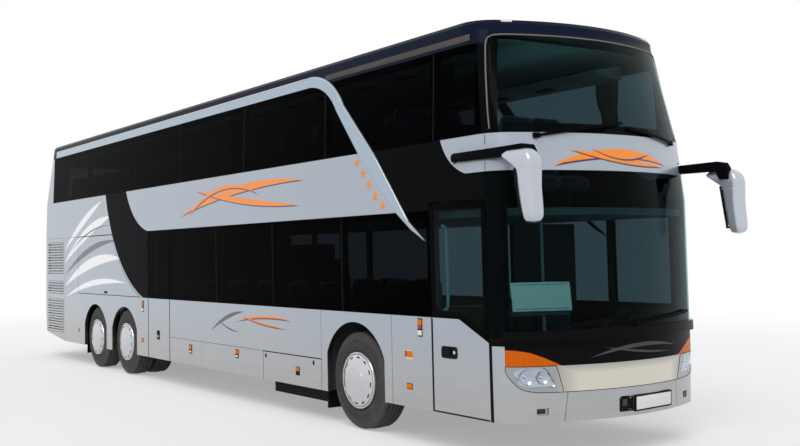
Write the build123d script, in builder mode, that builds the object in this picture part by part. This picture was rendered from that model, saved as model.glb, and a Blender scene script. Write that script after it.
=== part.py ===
from build123d import *
import math
import os

os.makedirs("parts", exist_ok=True)

# overall sizes, millimetres
body_length = 13890
body_width = 2550
body_height = 4050
mirror_reach = 250
tag_spacing = 1350
tyre_radius = 522
tyre_width = 298
rim_radius = 286
wall = 60
pane = 8
gap = 10
rub = 0.3
strip_proud = 14
lip_proud = 34

# stations along the bus, +X forward, origin under the middle of the whole box
wheelbase = 0.4824 * body_length
front_overhang = 0.193 * body_length
box_length = body_length + mirror_reach
tail_x = -box_length / 2
nose_x = box_length / 2 - mirror_reach
front_axle_x = nose_x - front_overhang
drive_axle_x = front_axle_x - wheelbase
tag_axle_x = drive_axle_x - tag_spacing
door_front = nose_x - 510
door_rear = door_front - 821
mid_front = drive_axle_x + 1815
mid_rear = mid_front - 808
door_line = mid_rear - gap
side_front = door_front + gap
cheek_x = side_front + 28
lamp_x = cheek_x + 118
panel_seam = front_axle_x + 690
wheel_seam = front_axle_x - 669
flap_seam_front = wheel_seam - 1361
flap_seam_rear = mid_front + 1091
rear_end = tail_x + 480
upper_rear = tail_x + 820
hold_rear = tail_x + 1520
rise_x = tag_axle_x - 1648
rise = 190

# levels above the road
skirt_z = 354
flap_z = 705
floor_top = 404
arch_top = 2 * tyre_radius + 101
rear_arch_top = 2 * tyre_radius + 41
sill_z = 2 * tyre_radius + 206
hold_top = sill_z - 10
ledge_z = sill_z - 140
tall = body_height - sill_z
belt_z = sill_z + 0.3686 * tall
shoulder_z = sill_z + 0.6054 * tall
cant_z = sill_z + 0.9125 * tall
eave_z = body_height - 120
screen_top = eave_z - 40
brow_z = shoulder_z - 345
arm_z = brow_z + 150
door_head = belt_z + 62
deck_top = belt_z - 20
deck_under = deck_top - 66
hatch_top = belt_z - 22
hatch_foot = sill_z + 12

# across the bus
half = body_width / 2
lining = half - wall
wheel_y = half - 199
twin_step = tyre_width + 32
kingpin_y = wheel_y - 116
hub_face = wheel_y + 44
twin_face = wheel_y - 191
box_in = kingpin_y - 390
rail_y = wheel_y - 646

# plan curves
nose_radius = 2600
front_corner = 290
rear_corner = 430

# height, front set-back, rear set-back, half width
body_rows = [
    (skirt_z, 25, 60, half),
    (sill_z - 350, 0, 0, half),
    (brow_z - 250, 0, 12, half),
    (shoulder_z, 76, 60, half),
    (eave_z, 340, 400, half - 36),
]
roof_rise = body_height - eave_z
roof_rows = [
    (eave_z, 340, 400, half - 36),
    (eave_z + 0.55 * roof_rise, 346, 406, half - 42),
    (eave_z + 0.85 * roof_rise, 374, 434, half - 70),
    (eave_z + 0.95 * roof_rise, 444, 504, half - 140),
    (body_height, 720, 780, half - 420),
]
reach = 2 * body_width


def outline(row, inset):
    z, front_set, rear_set, side = row
    side = side - inset
    front = nose_x - front_set - inset
    rear = tail_x + rear_set + inset
    big = nose_radius - inset
    small = front_corner - inset
    back = rear_corner - inset
    centre = front - big
    turn_x = centre + math.sqrt((big - small) ** 2 - (side - small) ** 2)
    lean = math.atan2(side - small, turn_x - centre)
    mid = (lean + math.pi / 2) / 2
    meet = (centre + big * math.cos(lean), big * math.sin(lean))
    bend = (turn_x + small * math.cos(mid), side - small + small * math.sin(mid))
    diag = back * math.sqrt(0.5)
    with BuildSketch(Plane.XY.offset(z)) as plan:
        with BuildLine():
            Line((rear + back, -side), (turn_x, -side))
            ThreePointArc((turn_x, -side), (bend[0], -bend[1]), (meet[0], -meet[1]))
            ThreePointArc((meet[0], -meet[1]), (front, 0), meet)
            ThreePointArc(meet, bend, (turn_x, side))
            Line((turn_x, side), (rear + back, side))
            ThreePointArc((rear + back, side), (rear + back - diag, side - back + diag), (rear, side - back))
            Line((rear, side - back), (rear, back - side))
            ThreePointArc((rear, back - side), (rear + back - diag, back - diag - side), (rear + back,
                                                                                          -side))
        make_face()
    return plan.sketch


def layer(outer, inner):
    with BuildPart() as shell:
        loft([outline(row, outer) for row in body_rows], ruled=True)
        loft([outline(row, inner) for row in body_rows], ruled=True, mode=Mode.SUBTRACT)
    return shell.part


def area(*points):
    with BuildSketch(Plane.XZ) as flat:
        with BuildLine():
            Polyline(*points, close=True)
        make_face()
    return flat.sketch


def patch(x0, x1, z0, z1):
    return area((x0, z0), (x1, z0), (x1, z1), (x0, z1))


def curved(*runs):
    with BuildSketch(Plane.XZ) as flat:
        with BuildLine():
            for run in runs:
                if len(run) == 2:
                    Line(*run)
                else:
                    ThreePointArc(*run)
        make_face()
    return flat.sketch


def face_on(x, *points):
    with BuildSketch(Plane.YZ.offset(x)) as flat:
        with BuildLine():
            Polyline(*points, close=True)
        make_face()
    return flat.sketch


def slab(x0, x1, y0, y1, z0, z1, mode=Mode.ADD):
    with Locations(((x0 + x1) / 2, (y0 + y1) / 2, (z0 + z1) / 2)):
        Box(abs(x1 - x0), abs(y1 - y0), abs(z1 - z0), mode=mode)


def arch(x, wide, top):
    centre = top - wide - 50
    spring = centre + math.sqrt((wide + 50) ** 2 - wide ** 2)
    low = skirt_z - 100
    return curved(
        ((x - wide, low), (x - wide, spring)),
        ((x - wide, spring), (x, top), (x + wide, spring)),
        ((x + wide, spring), (x + wide, low)),
        ((x + wide, low), (x - wide, low)),
    )


# the body wall, its glazing layer, the frame behind the glazing, layers that stand proud, and the room
# inside
skin = layer(0, wall)
glazing = layer(0, pane)
carcass = layer(pane, wall)
trim_layer = layer(-strip_proud, 0)
lip_layer = layer(-lip_proud, 0)
wiper_layer = layer(-lip_proud, -14)
recess_layer = layer(-1, 22)
with BuildPart() as room:
    loft([outline(row, wall) for row in body_rows], ruled=True)

# the dark sweep behind the middle door, the belt panel and the front band, seen from the side
sweep_top = drive_axle_x - 830
sweep_mid = (drive_axle_x - 135, sill_z + 0.3186 * (shoulder_z - sill_z))
sweep_foot = drive_axle_x + 795
belt_tail = drive_axle_x + 110
belt_mid = (drive_axle_x + 480, belt_z + 0.332 * (shoulder_z - belt_z))
belt_tip_top = front_axle_x + 155
belt_tip_foot = front_axle_x + 820
band_foot = nose_x - 770
band_mid = (nose_x - 1020, brow_z + 150)
band_top = nose_x - 1134
seam_top = nose_x - 655
seam_foot = nose_x - 537
screen_foot = nose_x - 435
screen_lean = 0.163
screen_head = screen_foot - screen_lean * (screen_top - shoulder_z)
pillar_head = screen_foot - screen_lean * (cant_z - shoulder_z)
sweep_edge = ((sweep_foot, sill_z), sweep_mid, (sweep_top, shoulder_z))
belt_edge = ((door_line, belt_z), belt_mid, (belt_tail, shoulder_z))
band_edge = ((band_foot, brow_z), band_mid, (band_top, shoulder_z))

with BuildPart() as roof:
    add(skin)
    extrude(patch(2 * tail_x, 2 * nose_x, cant_z, body_height), amount=reach, both=True, mode=Mode.INTERSECT)
    extrude(
        area((pillar_head, cant_z), (nose_x, cant_z), (nose_x, screen_top), (screen_head, screen_top)),
        amount=reach, both=True, mode=Mode.SUBTRACT,
    )
    loft([outline(row, 0) for row in roof_rows], ruled=True)
roof.part.label = "roof"
export_step(roof.part, "parts/roof.step")

# seams pressed into the lower side panels: x0, x1, z0, z1
seam = 6
side_seams = [
    (panel_seam - seam, panel_seam, skirt_z - 5, sill_z),
    (wheel_seam - seam, wheel_seam, flap_z, sill_z),
    (flap_seam_rear - seam, flap_seam_rear, skirt_z - 5, flap_z),
    (mid_front + gap, wheel_seam, flap_z - seam, flap_z),
]
with BuildPart() as side_panels:
    extrude(patch(mid_front + gap, wheel_seam, flap_z, sill_z), amount=reach, both=True)
    extrude(patch(mid_front + gap, flap_seam_front - gap, skirt_z, flap_z), amount=reach, both=True)
    extrude(patch(wheel_seam, door_rear - gap, skirt_z, sill_z), amount=reach, both=True)
    extrude(patch(door_line, mid_front + gap, skirt_z, sill_z), amount=-reach)
    extrude(patch(door_rear - gap, side_front, skirt_z, sill_z), amount=-reach)
    extrude(arch(front_axle_x, tyre_radius + 28, arch_top), amount=reach, both=True, mode=Mode.SUBTRACT)
    extrude(
        curved(belt_edge, ((belt_tail, shoulder_z), (belt_tip_top, shoulder_z)),
               ((belt_tip_top, shoulder_z), (belt_tip_foot, belt_z)), ((belt_tip_foot, belt_z),
                                                                       (door_line, belt_z))),
        amount=reach, both=True,
    )
    add(skin, mode=Mode.INTERSECT)
    for x0, x1, z0, z1 in side_seams:
        for side in (-1, 1):
            slab(x0, x1, side * half - 8, side * half + 8, z0, z1, mode=Mode.SUBTRACT)
side_panels.part.label = "side_panels"
export_step(side_panels.part, "parts/side_panels.step")

# luggage flap: its front edge runs beside the dark sweep
hatch_rear = tag_axle_x - 880
hatch_drop = 60


def round_through(first, second, third):
    ax, az = second[0] - first[0], second[1] - first[1]
    bx, bz = third[0] - first[0], third[1] - first[1]
    d = 2 * (ax * bz - az * bx)
    ux = (bz * (ax ** 2 + az ** 2) - az * (bx ** 2 + bz ** 2)) / d
    uz = (ax * (bx ** 2 + bz ** 2) - bx * (ax ** 2 + az ** 2)) / d
    return first[0] + ux, first[1] + uz, math.hypot(ux, uz)


sweep_x, sweep_z, sweep_r = round_through(*sweep_edge)


def beside_sweep(z, away):
    return (sweep_x - math.sqrt((sweep_r + away) ** 2 - (z - sweep_z) ** 2), z)


hatch_front = beside_sweep(hatch_top - hatch_drop, 40)
hatch_mid = beside_sweep((hatch_top + hatch_foot) / 2, 40)
hatch_tip = beside_sweep(hatch_foot, 40)
hatch_front_x = hatch_front[0]
bead = 12


def hatch(grow):
    with BuildSketch(Plane.XZ) as flat:
        with BuildLine():
            Line((hatch_rear, hatch_foot), hatch_tip)
            ThreePointArc(hatch_tip, hatch_mid, hatch_front)
            Line(hatch_front, (hatch_front_x, hatch_top))
            Line((hatch_front_x, hatch_top), (hatch_rear, hatch_top))
            Line((hatch_rear, hatch_top), (hatch_rear, hatch_foot))
        make_face()
        if grow:
            offset(amount=grow, kind=Kind.INTERSECTION)
    return flat.sketch


# louvre groups on the rear quarters: low edge, high edge, slot count
louvres = [(sill_z + 345, belt_z - 87, 8), (sill_z - 15, sill_z + 190, 3), (520, sill_z - 120, 8)]
with BuildPart() as rear_quarters:
    extrude(
        curved(sweep_edge, ((sweep_top, shoulder_z), (rear_end, shoulder_z)), ((rear_end, shoulder_z),
                                                                               (rear_end, skirt_z)),
               ((rear_end, skirt_z), (door_line, skirt_z)), ((door_line, skirt_z), (door_line, sill_z)),
               ((door_line, sill_z), (sweep_foot, sill_z))),
        amount=reach, both=True,
    )
    extrude(arch(drive_axle_x, tyre_radius + 23, rear_arch_top), amount=reach, both=True, mode=Mode.SUBTRACT)
    extrude(arch(tag_axle_x, tyre_radius + 23, rear_arch_top), amount=reach, both=True, mode=Mode.SUBTRACT)
    extrude(hatch(gap), amount=reach, both=True, mode=Mode.SUBTRACT)
    extrude(
        area((rise_x, skirt_z - 90), (rise_x, skirt_z), (tail_x - 90, skirt_z + rise), (tail_x - 90,
                                                                                        skirt_z - 90)),
        amount=reach, both=True, mode=Mode.SUBTRACT,
    )
    add(skin, mode=Mode.INTERSECT)
    for low, high, count in louvres:
        step = (high - low) / count
        for n in range(count):
            for side in (-1, 1):
                slab(rear_end + 30, rear_end + 950, side * half - 25, side * half + 25,
                     low + n * step, low + n * step + 0.55 * step, mode=Mode.SUBTRACT)
    for side in (-1, 1):
        slab(rear_end + 1000, rear_end + 1000 + seam, side * half - 8, side * half + 8, skirt_z - 5,
             hatch_top,
             mode=Mode.SUBTRACT)
        slab(rear_end, hatch_rear - gap, side * half - 8, side * half + 8, hatch_top, hatch_top + seam,
             mode=Mode.SUBTRACT)
rear_quarters.part.label = "rear_quarters"
export_step(rear_quarters.part, "parts/rear_quarters.step")

# flaps hang from a rolled bead along their top edge
for side, word in ((1, "left"), (-1, "right")):
    with BuildPart() as luggage_flap:
        extrude(hatch(0), amount=-side * reach)
        add(skin, mode=Mode.INTERSECT)
        slab(hatch_rear, hatch_front_x, side * (half - bead), side * (half + 5), hatch_top - bead,
             hatch_top + 5,
             mode=Mode.SUBTRACT)
        slab(hatch_rear, hatch_front_x, side * (lining - 1), side * (lining + 8), hatch_top - 2 * bead,
             hatch_top + 5,
             mode=Mode.SUBTRACT)
        with Locations(((hatch_rear + hatch_front_x) / 2, side * (half - bead), hatch_top - bead)):
            Cylinder(bead, hatch_front_x - hatch_rear, rotation=(0, 90, 0))
    luggage_flap.part.label = "luggage_flap_" + word
    export_step(luggage_flap.part, "parts/luggage_flap_" + word + ".step")

    with BuildPart() as service_flap:
        extrude(patch(flap_seam_front, wheel_seam - gap, skirt_z, flap_z - gap), amount=-side * reach)
        add(skin, mode=Mode.INTERSECT)
        slab(flap_seam_front, wheel_seam - gap, side * (half - bead), side * (half + 5),
             flap_z - gap - bead, flap_z,
             mode=Mode.SUBTRACT)
        with Locations(((flap_seam_front + wheel_seam - gap) / 2, side * (half - bead),
                        flap_z - gap - bead)):
            Cylinder(bead, wheel_seam - gap - flap_seam_front, rotation=(0, 90, 0))
    service_flap.part.label = "service_flap_" + word
    export_step(service_flap.part, "parts/service_flap_" + word + ".step")

with BuildPart() as shoulder_panels:
    extrude(
        curved(sweep_edge, ((sweep_top, shoulder_z), (belt_tail, shoulder_z)), belt_edge[::-1],
               ((door_line, belt_z), (door_line, sill_z)), ((door_line, sill_z), (sweep_foot, sill_z))),
        amount=reach, both=True,
    )
    extrude(
        curved(((belt_tip_top, shoulder_z), (belt_tip_foot, belt_z)), ((belt_tip_foot, belt_z),
                                                                       (door_rear - gap, belt_z)),
               ((door_rear - gap, belt_z), (door_rear - gap, door_head + gap)),
               ((door_rear - gap, door_head + gap), (side_front, door_head + gap)),
               ((side_front, door_head + gap), (side_front, brow_z)), ((side_front, brow_z), (band_foot,
                                                                                              brow_z)),
               band_edge, ((band_top, shoulder_z), (belt_tip_top, shoulder_z))),
        amount=reach, both=True,
    )
    add(skin, mode=Mode.INTERSECT)
shoulder_panels.part.label = "shoulder_panels"
export_step(shoulder_panels.part, "parts/shoulder_panels.step")

# side windows: first and last station of each pane
lower_count = 4
lower_step = (door_rear - mid_front - 2 * gap) / lower_count
lower_panes = [(mid_front + gap + n * lower_step,
                mid_front + gap + (n + 1) * lower_step) for n in range(lower_count)]
left_panes = [(door_line, mid_front + gap, belt_z), (door_rear - gap, side_front, door_head + gap)]
upper_count = 6
upper_last = nose_x - 1240
upper_step = (upper_last - upper_rear) / upper_count
upper_panes = [(upper_rear + n * upper_step, upper_rear + (n + 1) * upper_step) for n in range(upper_count)]
upper_panes.append((upper_last, seam_foot - 60))
post = 45
border = 60

with BuildPart() as window_frames:
    extrude(patch(mid_front + gap, door_rear - gap, sill_z, belt_z), amount=reach, both=True)
    extrude(patch(door_line, mid_front + gap, sill_z, belt_z), amount=-reach)
    extrude(patch(door_rear - gap, side_front, sill_z, door_head + gap), amount=-reach)
    extrude(
        area((upper_rear, shoulder_z), (seam_foot, shoulder_z), (seam_top, cant_z), (upper_rear, cant_z)),
        amount=reach, both=True,
    )
    for x0, x1 in lower_panes:
        extrude(patch(x0 + post, x1 - post, sill_z + border, belt_z - border), amount=reach, both=True,
                mode=Mode.SUBTRACT)
    for x0, x1, top in left_panes:
        extrude(patch(x0 + post, x1 - post, sill_z + border, top - border), amount=-reach,
                mode=Mode.SUBTRACT)
    for x0, x1 in upper_panes:
        extrude(patch(x0 + post, x1 - post, shoulder_z + border, cant_z - border), amount=reach,
                both=True, mode=Mode.SUBTRACT)
    add(carcass, mode=Mode.INTERSECT)
window_frames.part.label = "window_frames"
export_step(window_frames.part, "parts/window_frames.step")

with BuildPart() as corner_posts:
    extrude(
        area((seam_foot, shoulder_z), (screen_foot, shoulder_z), (pillar_head, cant_z), (seam_top, cant_z)),
        amount=reach, both=True,
    )
    add(skin, mode=Mode.INTERSECT)

with BuildPart() as front_pillars:
    extrude(patch(side_front, lamp_x, ledge_z, brow_z), amount=reach, both=True)
    extrude(patch(screen_foot, nose_x + 200, shoulder_z, shoulder_z + 90), amount=reach, both=True)
    add(carcass, mode=Mode.INTERSECT)
    add(corner_posts.part)
front_pillars.part.label = "front_pillars"
export_step(front_pillars.part, "parts/front_pillars.step")

with BuildPart() as side_glass:
    for x0, x1 in lower_panes:
        extrude(patch(x0 + 2, x1 - 2, sill_z, belt_z), amount=reach, both=True)
    for x0, x1, top in left_panes:
        extrude(patch(x0 + 2, x1 - 2, sill_z, top), amount=-reach)
    for x0, x1 in upper_panes[:-1]:
        extrude(patch(x0 + 2, x1 - 2, shoulder_z, cant_z), amount=reach, both=True)
    extrude(
        area((upper_last + 2, shoulder_z), (seam_foot - 2, shoulder_z), (seam_top - 2, cant_z),
             (upper_last + 2, cant_z)),
        amount=reach, both=True,
    )
    add(glazing, mode=Mode.INTERSECT)
side_glass.part.label = "side_glass"
export_step(side_glass.part, "parts/side_glass.step")

with BuildPart() as windscreens:
    extrude(patch(side_front, nose_x + 200, ledge_z, brow_z), amount=reach, both=True)
    extrude(
        area((screen_foot, shoulder_z), (nose_x + 200, shoulder_z), (nose_x + 200, screen_top),
             (screen_head, screen_top)),
        amount=reach, both=True,
    )
    add(glazing, mode=Mode.INTERSECT)
windscreens.part.label = "windscreens"
export_step(windscreens.part, "parts/windscreens.step")

with BuildPart() as arm_bed:
    for side, low, start in ((-1, arm_z - 52, band_top + 190), (1, arm_z - 127, band_top + 330)):
        extrude(patch(start, nose_x - 265, low, low + 104), amount=-side * reach)
    add(recess_layer, mode=Mode.INTERSECT)

with BuildPart() as front_band:
    extrude(
        curved(band_edge, ((band_top, shoulder_z), (nose_x + 200, shoulder_z)),
               ((nose_x + 200, shoulder_z), (nose_x + 200, brow_z)), ((nose_x + 200, brow_z), (band_foot,
                                                                                               brow_z))),
        amount=reach, both=True,
    )
    add(skin, mode=Mode.INTERSECT)
    add(arm_bed.part, mode=Mode.SUBTRACT)
front_band.part.label = "front_band"
export_step(front_band.part, "parts/front_band.step")

# front lamps and the panels round them, seen from the front
nose_low = 620
lamp_top = 852
cheek_top = 1030
chrome_low = half - 555
chrome_top = half - 505
tow_y = -90
tow_z = 480
with BuildPart() as lamp_zone:
    for side in (-1, 1):
        extrude(
            face_on(lamp_x, (side * chrome_low, nose_low), (side * (half - 235), nose_low + 10),
                    (side * (half - 145), 660),
                    (side * (half - 85), 730), (side * (half - 35), lamp_top), (side * chrome_top,
                                                                                lamp_top)),
            amount=reach,
        )
with BuildPart() as amber_zone:
    for side in (-1, 1):
        extrude(
            face_on(lamp_x, (side * (half - 35), lamp_top), (side * chrome_top, lamp_top),
                    (side * (half - 354), 921),
                    (side * (half - 228), 972), (side * (half - 110), 995), (side * (half - 35), 1000)),
            amount=reach,
        )
with BuildPart() as chrome_zone:
    extrude(
        face_on(lamp_x, (-chrome_low, nose_low), (chrome_low, nose_low), (chrome_top, lamp_top),
                (-chrome_top, lamp_top)),
        amount=reach,
    )

with BuildPart() as headlamps:
    add(lamp_zone.part)
    add(skin, mode=Mode.INTERSECT)
headlamps.part.label = "headlamps"
export_step(headlamps.part, "parts/headlamps.step")

with BuildPart() as indicators:
    add(amber_zone.part)
    add(skin, mode=Mode.INTERSECT)
indicators.part.label = "indicators"
export_step(indicators.part, "parts/indicators.step")

with BuildPart() as nose_panel:
    add(chrome_zone.part)
    add(skin, mode=Mode.INTERSECT)
nose_panel.part.label = "nose_panel"
export_step(nose_panel.part, "parts/nose_panel.step")

with BuildPart() as hollows:
    for side in (-1, 1):
        extrude(
            face_on(lamp_x, (side * (half - 385), 420), (side * (half - 280), 420), (side * (half - 280),
                                                                                     485),
                    (side * (half - 385), 485)),
            amount=reach,
        )
        extrude(
            face_on(lamp_x, (side * (chrome_low + 22), skirt_z - 5), (side * (chrome_low + 22 + seam),
                                                                      skirt_z - 5),
                    (side * (chrome_low - 10 + seam), nose_low), (side * (chrome_low - 10), nose_low)),
            amount=reach,
        )
    add(recess_layer, mode=Mode.INTERSECT)

with BuildPart() as front_bumper:
    extrude(patch(cheek_x, nose_x + 200, skirt_z, nose_low), amount=reach, both=True)
    extrude(patch(cheek_x, lamp_x, nose_low, cheek_top), amount=reach, both=True)
    extrude(patch(lamp_x, nose_x + 200, nose_low, lamp_top), amount=reach, both=True)
    add(skin, mode=Mode.INTERSECT)
    add(lamp_zone.part, mode=Mode.SUBTRACT)
    add(chrome_zone.part, mode=Mode.SUBTRACT)
    add(hollows.part, mode=Mode.SUBTRACT)
    slab(nose_x - 130, nose_x - 60, tow_y - 110, tow_y + 110, tow_z - 90, tow_z + 90)
    slab(nose_x - 70, nose_x + 50, tow_y - 60, tow_y + 60, tow_z - 60, tow_z + 60, mode=Mode.SUBTRACT)
    with Locations((nose_x - 130, tow_y, tow_z)):
        Cylinder(50, 120, rotation=(0, 90, 0))
        Cylinder(22, 120, rotation=(0, 90, 0), mode=Mode.SUBTRACT)
front_bumper.part.label = "front_bumper"
export_step(front_bumper.part, "parts/front_bumper.step")

with BuildPart() as ledge:
    extrude(patch(lamp_x, nose_x + 200, ledge_z - 40, ledge_z + 55), amount=reach, both=True)
    add(lip_layer, mode=Mode.INTERSECT)

with BuildPart() as front_nose:
    extrude(patch(lamp_x, nose_x + 200, lamp_top, ledge_z), amount=reach, both=True)
    extrude(patch(cheek_x, lamp_x, cheek_top, ledge_z), amount=reach, both=True)
    extrude(patch(side_front, cheek_x, skirt_z, ledge_z), amount=reach, both=True)
    add(skin, mode=Mode.INTERSECT)
    add(amber_zone.part, mode=Mode.SUBTRACT)
    add(ledge.part)
front_nose.part.label = "front_nose"
export_step(front_nose.part, "parts/front_nose.step")

# wipers lie on the glass: pivot y, pivot z, tip y, tip z
wiper_rows = [
    (-870, ledge_z + 86, 60, ledge_z + 180),
    (60, ledge_z + 86, 990, ledge_z + 155),
    (-900, shoulder_z - 30, 60, shoulder_z + 115),
    (900, shoulder_z - 30, 140, shoulder_z + 70),
]
with BuildPart() as pivots:
    for y0, z0, y1, z1 in wiper_rows:
        extrude(
            face_on(lamp_x, (y0 - 24, z0 - 24), (y0 + 24, z0 - 24), (y0 + 24, z0 + 24), (y0 - 24, z0 + 24)),
            amount=reach,
        )
    add(lip_layer, mode=Mode.INTERSECT)

with BuildPart() as wipers:
    for y0, z0, y1, z1 in wiper_rows:
        run = math.hypot(y1 - y0, z1 - z0)
        along = ((y1 - y0) / run, (z1 - z0) / run)
        off = (-along[1] * 13, along[0] * 13)
        extrude(face_on(lamp_x, (y0 + off[0], z0 + off[1]), (y1 + off[0], z1 + off[1]), (y1 - off[0],
                                                                                         z1 - off[1]),
                        (y0 - off[0], z0 - off[1])), amount=reach)
    add(wiper_layer, mode=Mode.INTERSECT)
    add(pivots.part)
wipers.part.label = "wipers"
export_step(wipers.part, "parts/wipers.step")

# the raised strip along the cant rail that comes down ahead of the belt panel
glass_tall = cant_z - shoulder_z
strip_top = eave_z - 5
strip_runs = [
    ((upper_rear + 150, strip_top), (front_axle_x - 900, strip_top)),
    ((front_axle_x - 900, strip_top), (front_axle_x - 435, cant_z + 2), (front_axle_x - 145,
                                                                         shoulder_z + 0.663 * glass_tall)),
    ((front_axle_x - 145, shoulder_z + 0.663 * glass_tall), (front_axle_x + 440, shoulder_z - 17)),
    ((front_axle_x + 440, shoulder_z - 17), (front_axle_x + 1030, belt_z - 96)),
    ((front_axle_x + 1030, belt_z - 96), (front_axle_x + 1295, belt_z - 297)),
    ((front_axle_x + 1295, belt_z - 297), (front_axle_x + 1065, belt_z - 177)),
    ((front_axle_x + 1065, belt_z - 177), (belt_tip_foot, belt_z)),
    ((belt_tip_foot, belt_z), (belt_tip_top, shoulder_z)),
    ((belt_tip_top, shoulder_z), (front_axle_x - 285, shoulder_z + 0.602 * glass_tall)),
    ((front_axle_x - 285, shoulder_z + 0.602 * glass_tall), (front_axle_x - 550,
                                                             shoulder_z + 0.898 * glass_tall),
     (front_axle_x - 900, cant_z)),
    ((front_axle_x - 900, cant_z), (upper_rear + 150, cant_z)),
    ((upper_rear + 150, cant_z), (upper_rear + 150, strip_top)),
]
with BuildPart() as arch_strips:
    extrude(curved(*strip_runs), amount=reach, both=True)
    add(trim_layer, mode=Mode.INTERSECT)
arch_strips.part.label = "arch_strips"
export_step(arch_strips.part, "parts/arch_strips.step")

# rear face with the engine opening, tail lamps and upper window
lid_half = half - 475
lid_low = 580
lid_top = sill_z + 310
window_half = half - 495
window_low = shoulder_z + 85
window_high = cant_z - 125
with BuildPart() as tail_zone:
    for side in (-1, 1):
        extrude(
            face_on(rear_end, (side * (half - 345), sill_z - 350), (side * (half - 185), sill_z - 350),
                    (side * (half - 185), lid_top), (side * (half - 345), lid_top)),
            amount=-reach,
        )

with BuildPart() as rear_wall:
    extrude(patch(tail_x - 200, rear_end, skirt_z, shoulder_z), amount=reach, both=True)
    extrude(patch(tail_x - 200, upper_rear, shoulder_z, cant_z), amount=reach, both=True)
    extrude(
        area((rise_x, skirt_z - 90), (rise_x, skirt_z), (tail_x - 90, skirt_z + rise), (tail_x - 90,
                                                                                        skirt_z - 90)),
        amount=reach, both=True, mode=Mode.SUBTRACT,
    )
    add(skin, mode=Mode.INTERSECT)
    slab(tail_x - 200, rear_end - 50, -lid_half - gap, lid_half + gap, lid_low - gap, lid_top + gap,
         mode=Mode.SUBTRACT)
    slab(tail_x - 200, upper_rear - 50, -window_half, window_half, window_low, window_high,
         mode=Mode.SUBTRACT)
    add(tail_zone.part, mode=Mode.SUBTRACT)
rear_wall.part.label = "rear_wall"
export_step(rear_wall.part, "parts/rear_wall.step")

with BuildPart() as rear_glass:
    slab(tail_x - 200, upper_rear - 50, -window_half, window_half, window_low, window_high)
    add(glazing, mode=Mode.INTERSECT)
rear_glass.part.label = "rear_glass"
export_step(rear_glass.part, "parts/rear_glass.step")

with BuildPart() as tail_lamps:
    add(tail_zone.part)
    add(skin, mode=Mode.INTERSECT)
tail_lamps.part.label = "tail_lamps"
export_step(tail_lamps.part, "parts/tail_lamps.step")

with BuildPart() as engine_lid:
    slab(tail_x - 200, rear_end - 50, -lid_half, lid_half, lid_low, lid_top)
    add(skin, mode=Mode.INTERSECT)
    slab(tail_x - 5, tail_x + bead + 6, -lid_half, lid_half, lid_top - bead, lid_top + 5, mode=Mode.SUBTRACT)
    with Locations((tail_x + bead + 6, 0, lid_top - bead)):
        Cylinder(bead, 2 * lid_half, rotation=(90, 0, 0))
    for y in (-0.6 * lid_half, 0.6 * lid_half):
        slab(tail_x + 20, tail_x + 40, y - 60, y + 60, lid_top - 20, lid_top + gap - rub)
engine_lid.part.label = "engine_lid"
export_step(engine_lid.part, "parts/engine_lid.step")

# floors, bulkheads and wheel boxes: x, y, z limits
box_front = front_axle_x + tyre_radius + 98
box_rear = front_axle_x - tyre_radius - 98
box_out_front = box_front + 40
box_out_rear = box_rear - 40
box_low = 2 * tyre_radius + 136
box_high = 2 * tyre_radius + 176
axle_floor = tyre_radius + 168
floor_boxes = [
    (door_line - 50, box_rear, -lining, lining, skirt_z, floor_top),
    (box_front, door_front - 60, -lining, lining, skirt_z, floor_top),
    (box_out_rear, box_out_front, -box_in, box_in, axle_floor - 50, axle_floor),
    (box_out_rear, box_rear, -lining, lining, floor_top, axle_floor),
    (box_front, box_out_front, -lining, lining, floor_top, axle_floor),
    (box_out_rear, box_out_front, -lining, -box_in, box_low, box_high),
    (box_out_rear, box_out_front, box_in, lining, box_low, box_high),
    (box_out_rear, box_rear, -lining, -box_in, axle_floor, box_low),
    (box_out_rear, box_rear, box_in, lining, axle_floor, box_low),
    (box_front, box_out_front, -lining, -box_in, axle_floor, box_low),
    (box_front, box_out_front, box_in, lining, axle_floor, box_low),
    (box_out_rear, box_out_front, -box_in, -box_in + 40, axle_floor, box_high),
    (box_out_rear, box_out_front, box_in - 40, box_in, axle_floor, box_high),
    (hold_rear, door_line - 50, -lining, lining, hold_top - 50, hold_top),
    (door_line - 100, door_line - 50, -lining, lining, skirt_z, deck_under),
    (hold_rear - 50, hold_rear, -lining, lining, hold_top - 50, deck_under),
]
with BuildPart() as floor_lower:
    slab(door_front - 60, nose_x - 200, -half, half, skirt_z, floor_top)
    add(room.part, mode=Mode.INTERSECT)
    for box in floor_boxes:
        slab(*box)
floor_lower.part.label = "floor_lower"
export_step(floor_lower.part, "parts/floor_lower.step")

stair_x = mid_front + 445
stair_length = 1500
stair_in = lining - 695
with BuildPart() as upper_deck:
    slab(tail_x, nose_x, -half, half, deck_under, deck_top)
    add(room.part, mode=Mode.INTERSECT)
    slab(stair_x, stair_x + stair_length, stair_in, lining - 40, deck_under - 10, deck_top + 10,
         mode=Mode.SUBTRACT)
upper_deck.part.label = "upper_deck"
export_step(upper_deck.part, "parts/upper_deck.step")

tread_count = 7
tread_run = stair_length / tread_count
tread_rise = (deck_top - floor_top) / (tread_count + 1)
with BuildPart() as stairs:
    for n in range(tread_count):
        slab(stair_x + stair_length - (n + 1) * tread_run, stair_x + stair_length - n * tread_run,
             stair_in + 20, lining,
             floor_top, floor_top + (n + 1) * tread_rise)
stairs.part.label = "stairs"
export_step(stairs.part, "parts/stairs.step")

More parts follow.
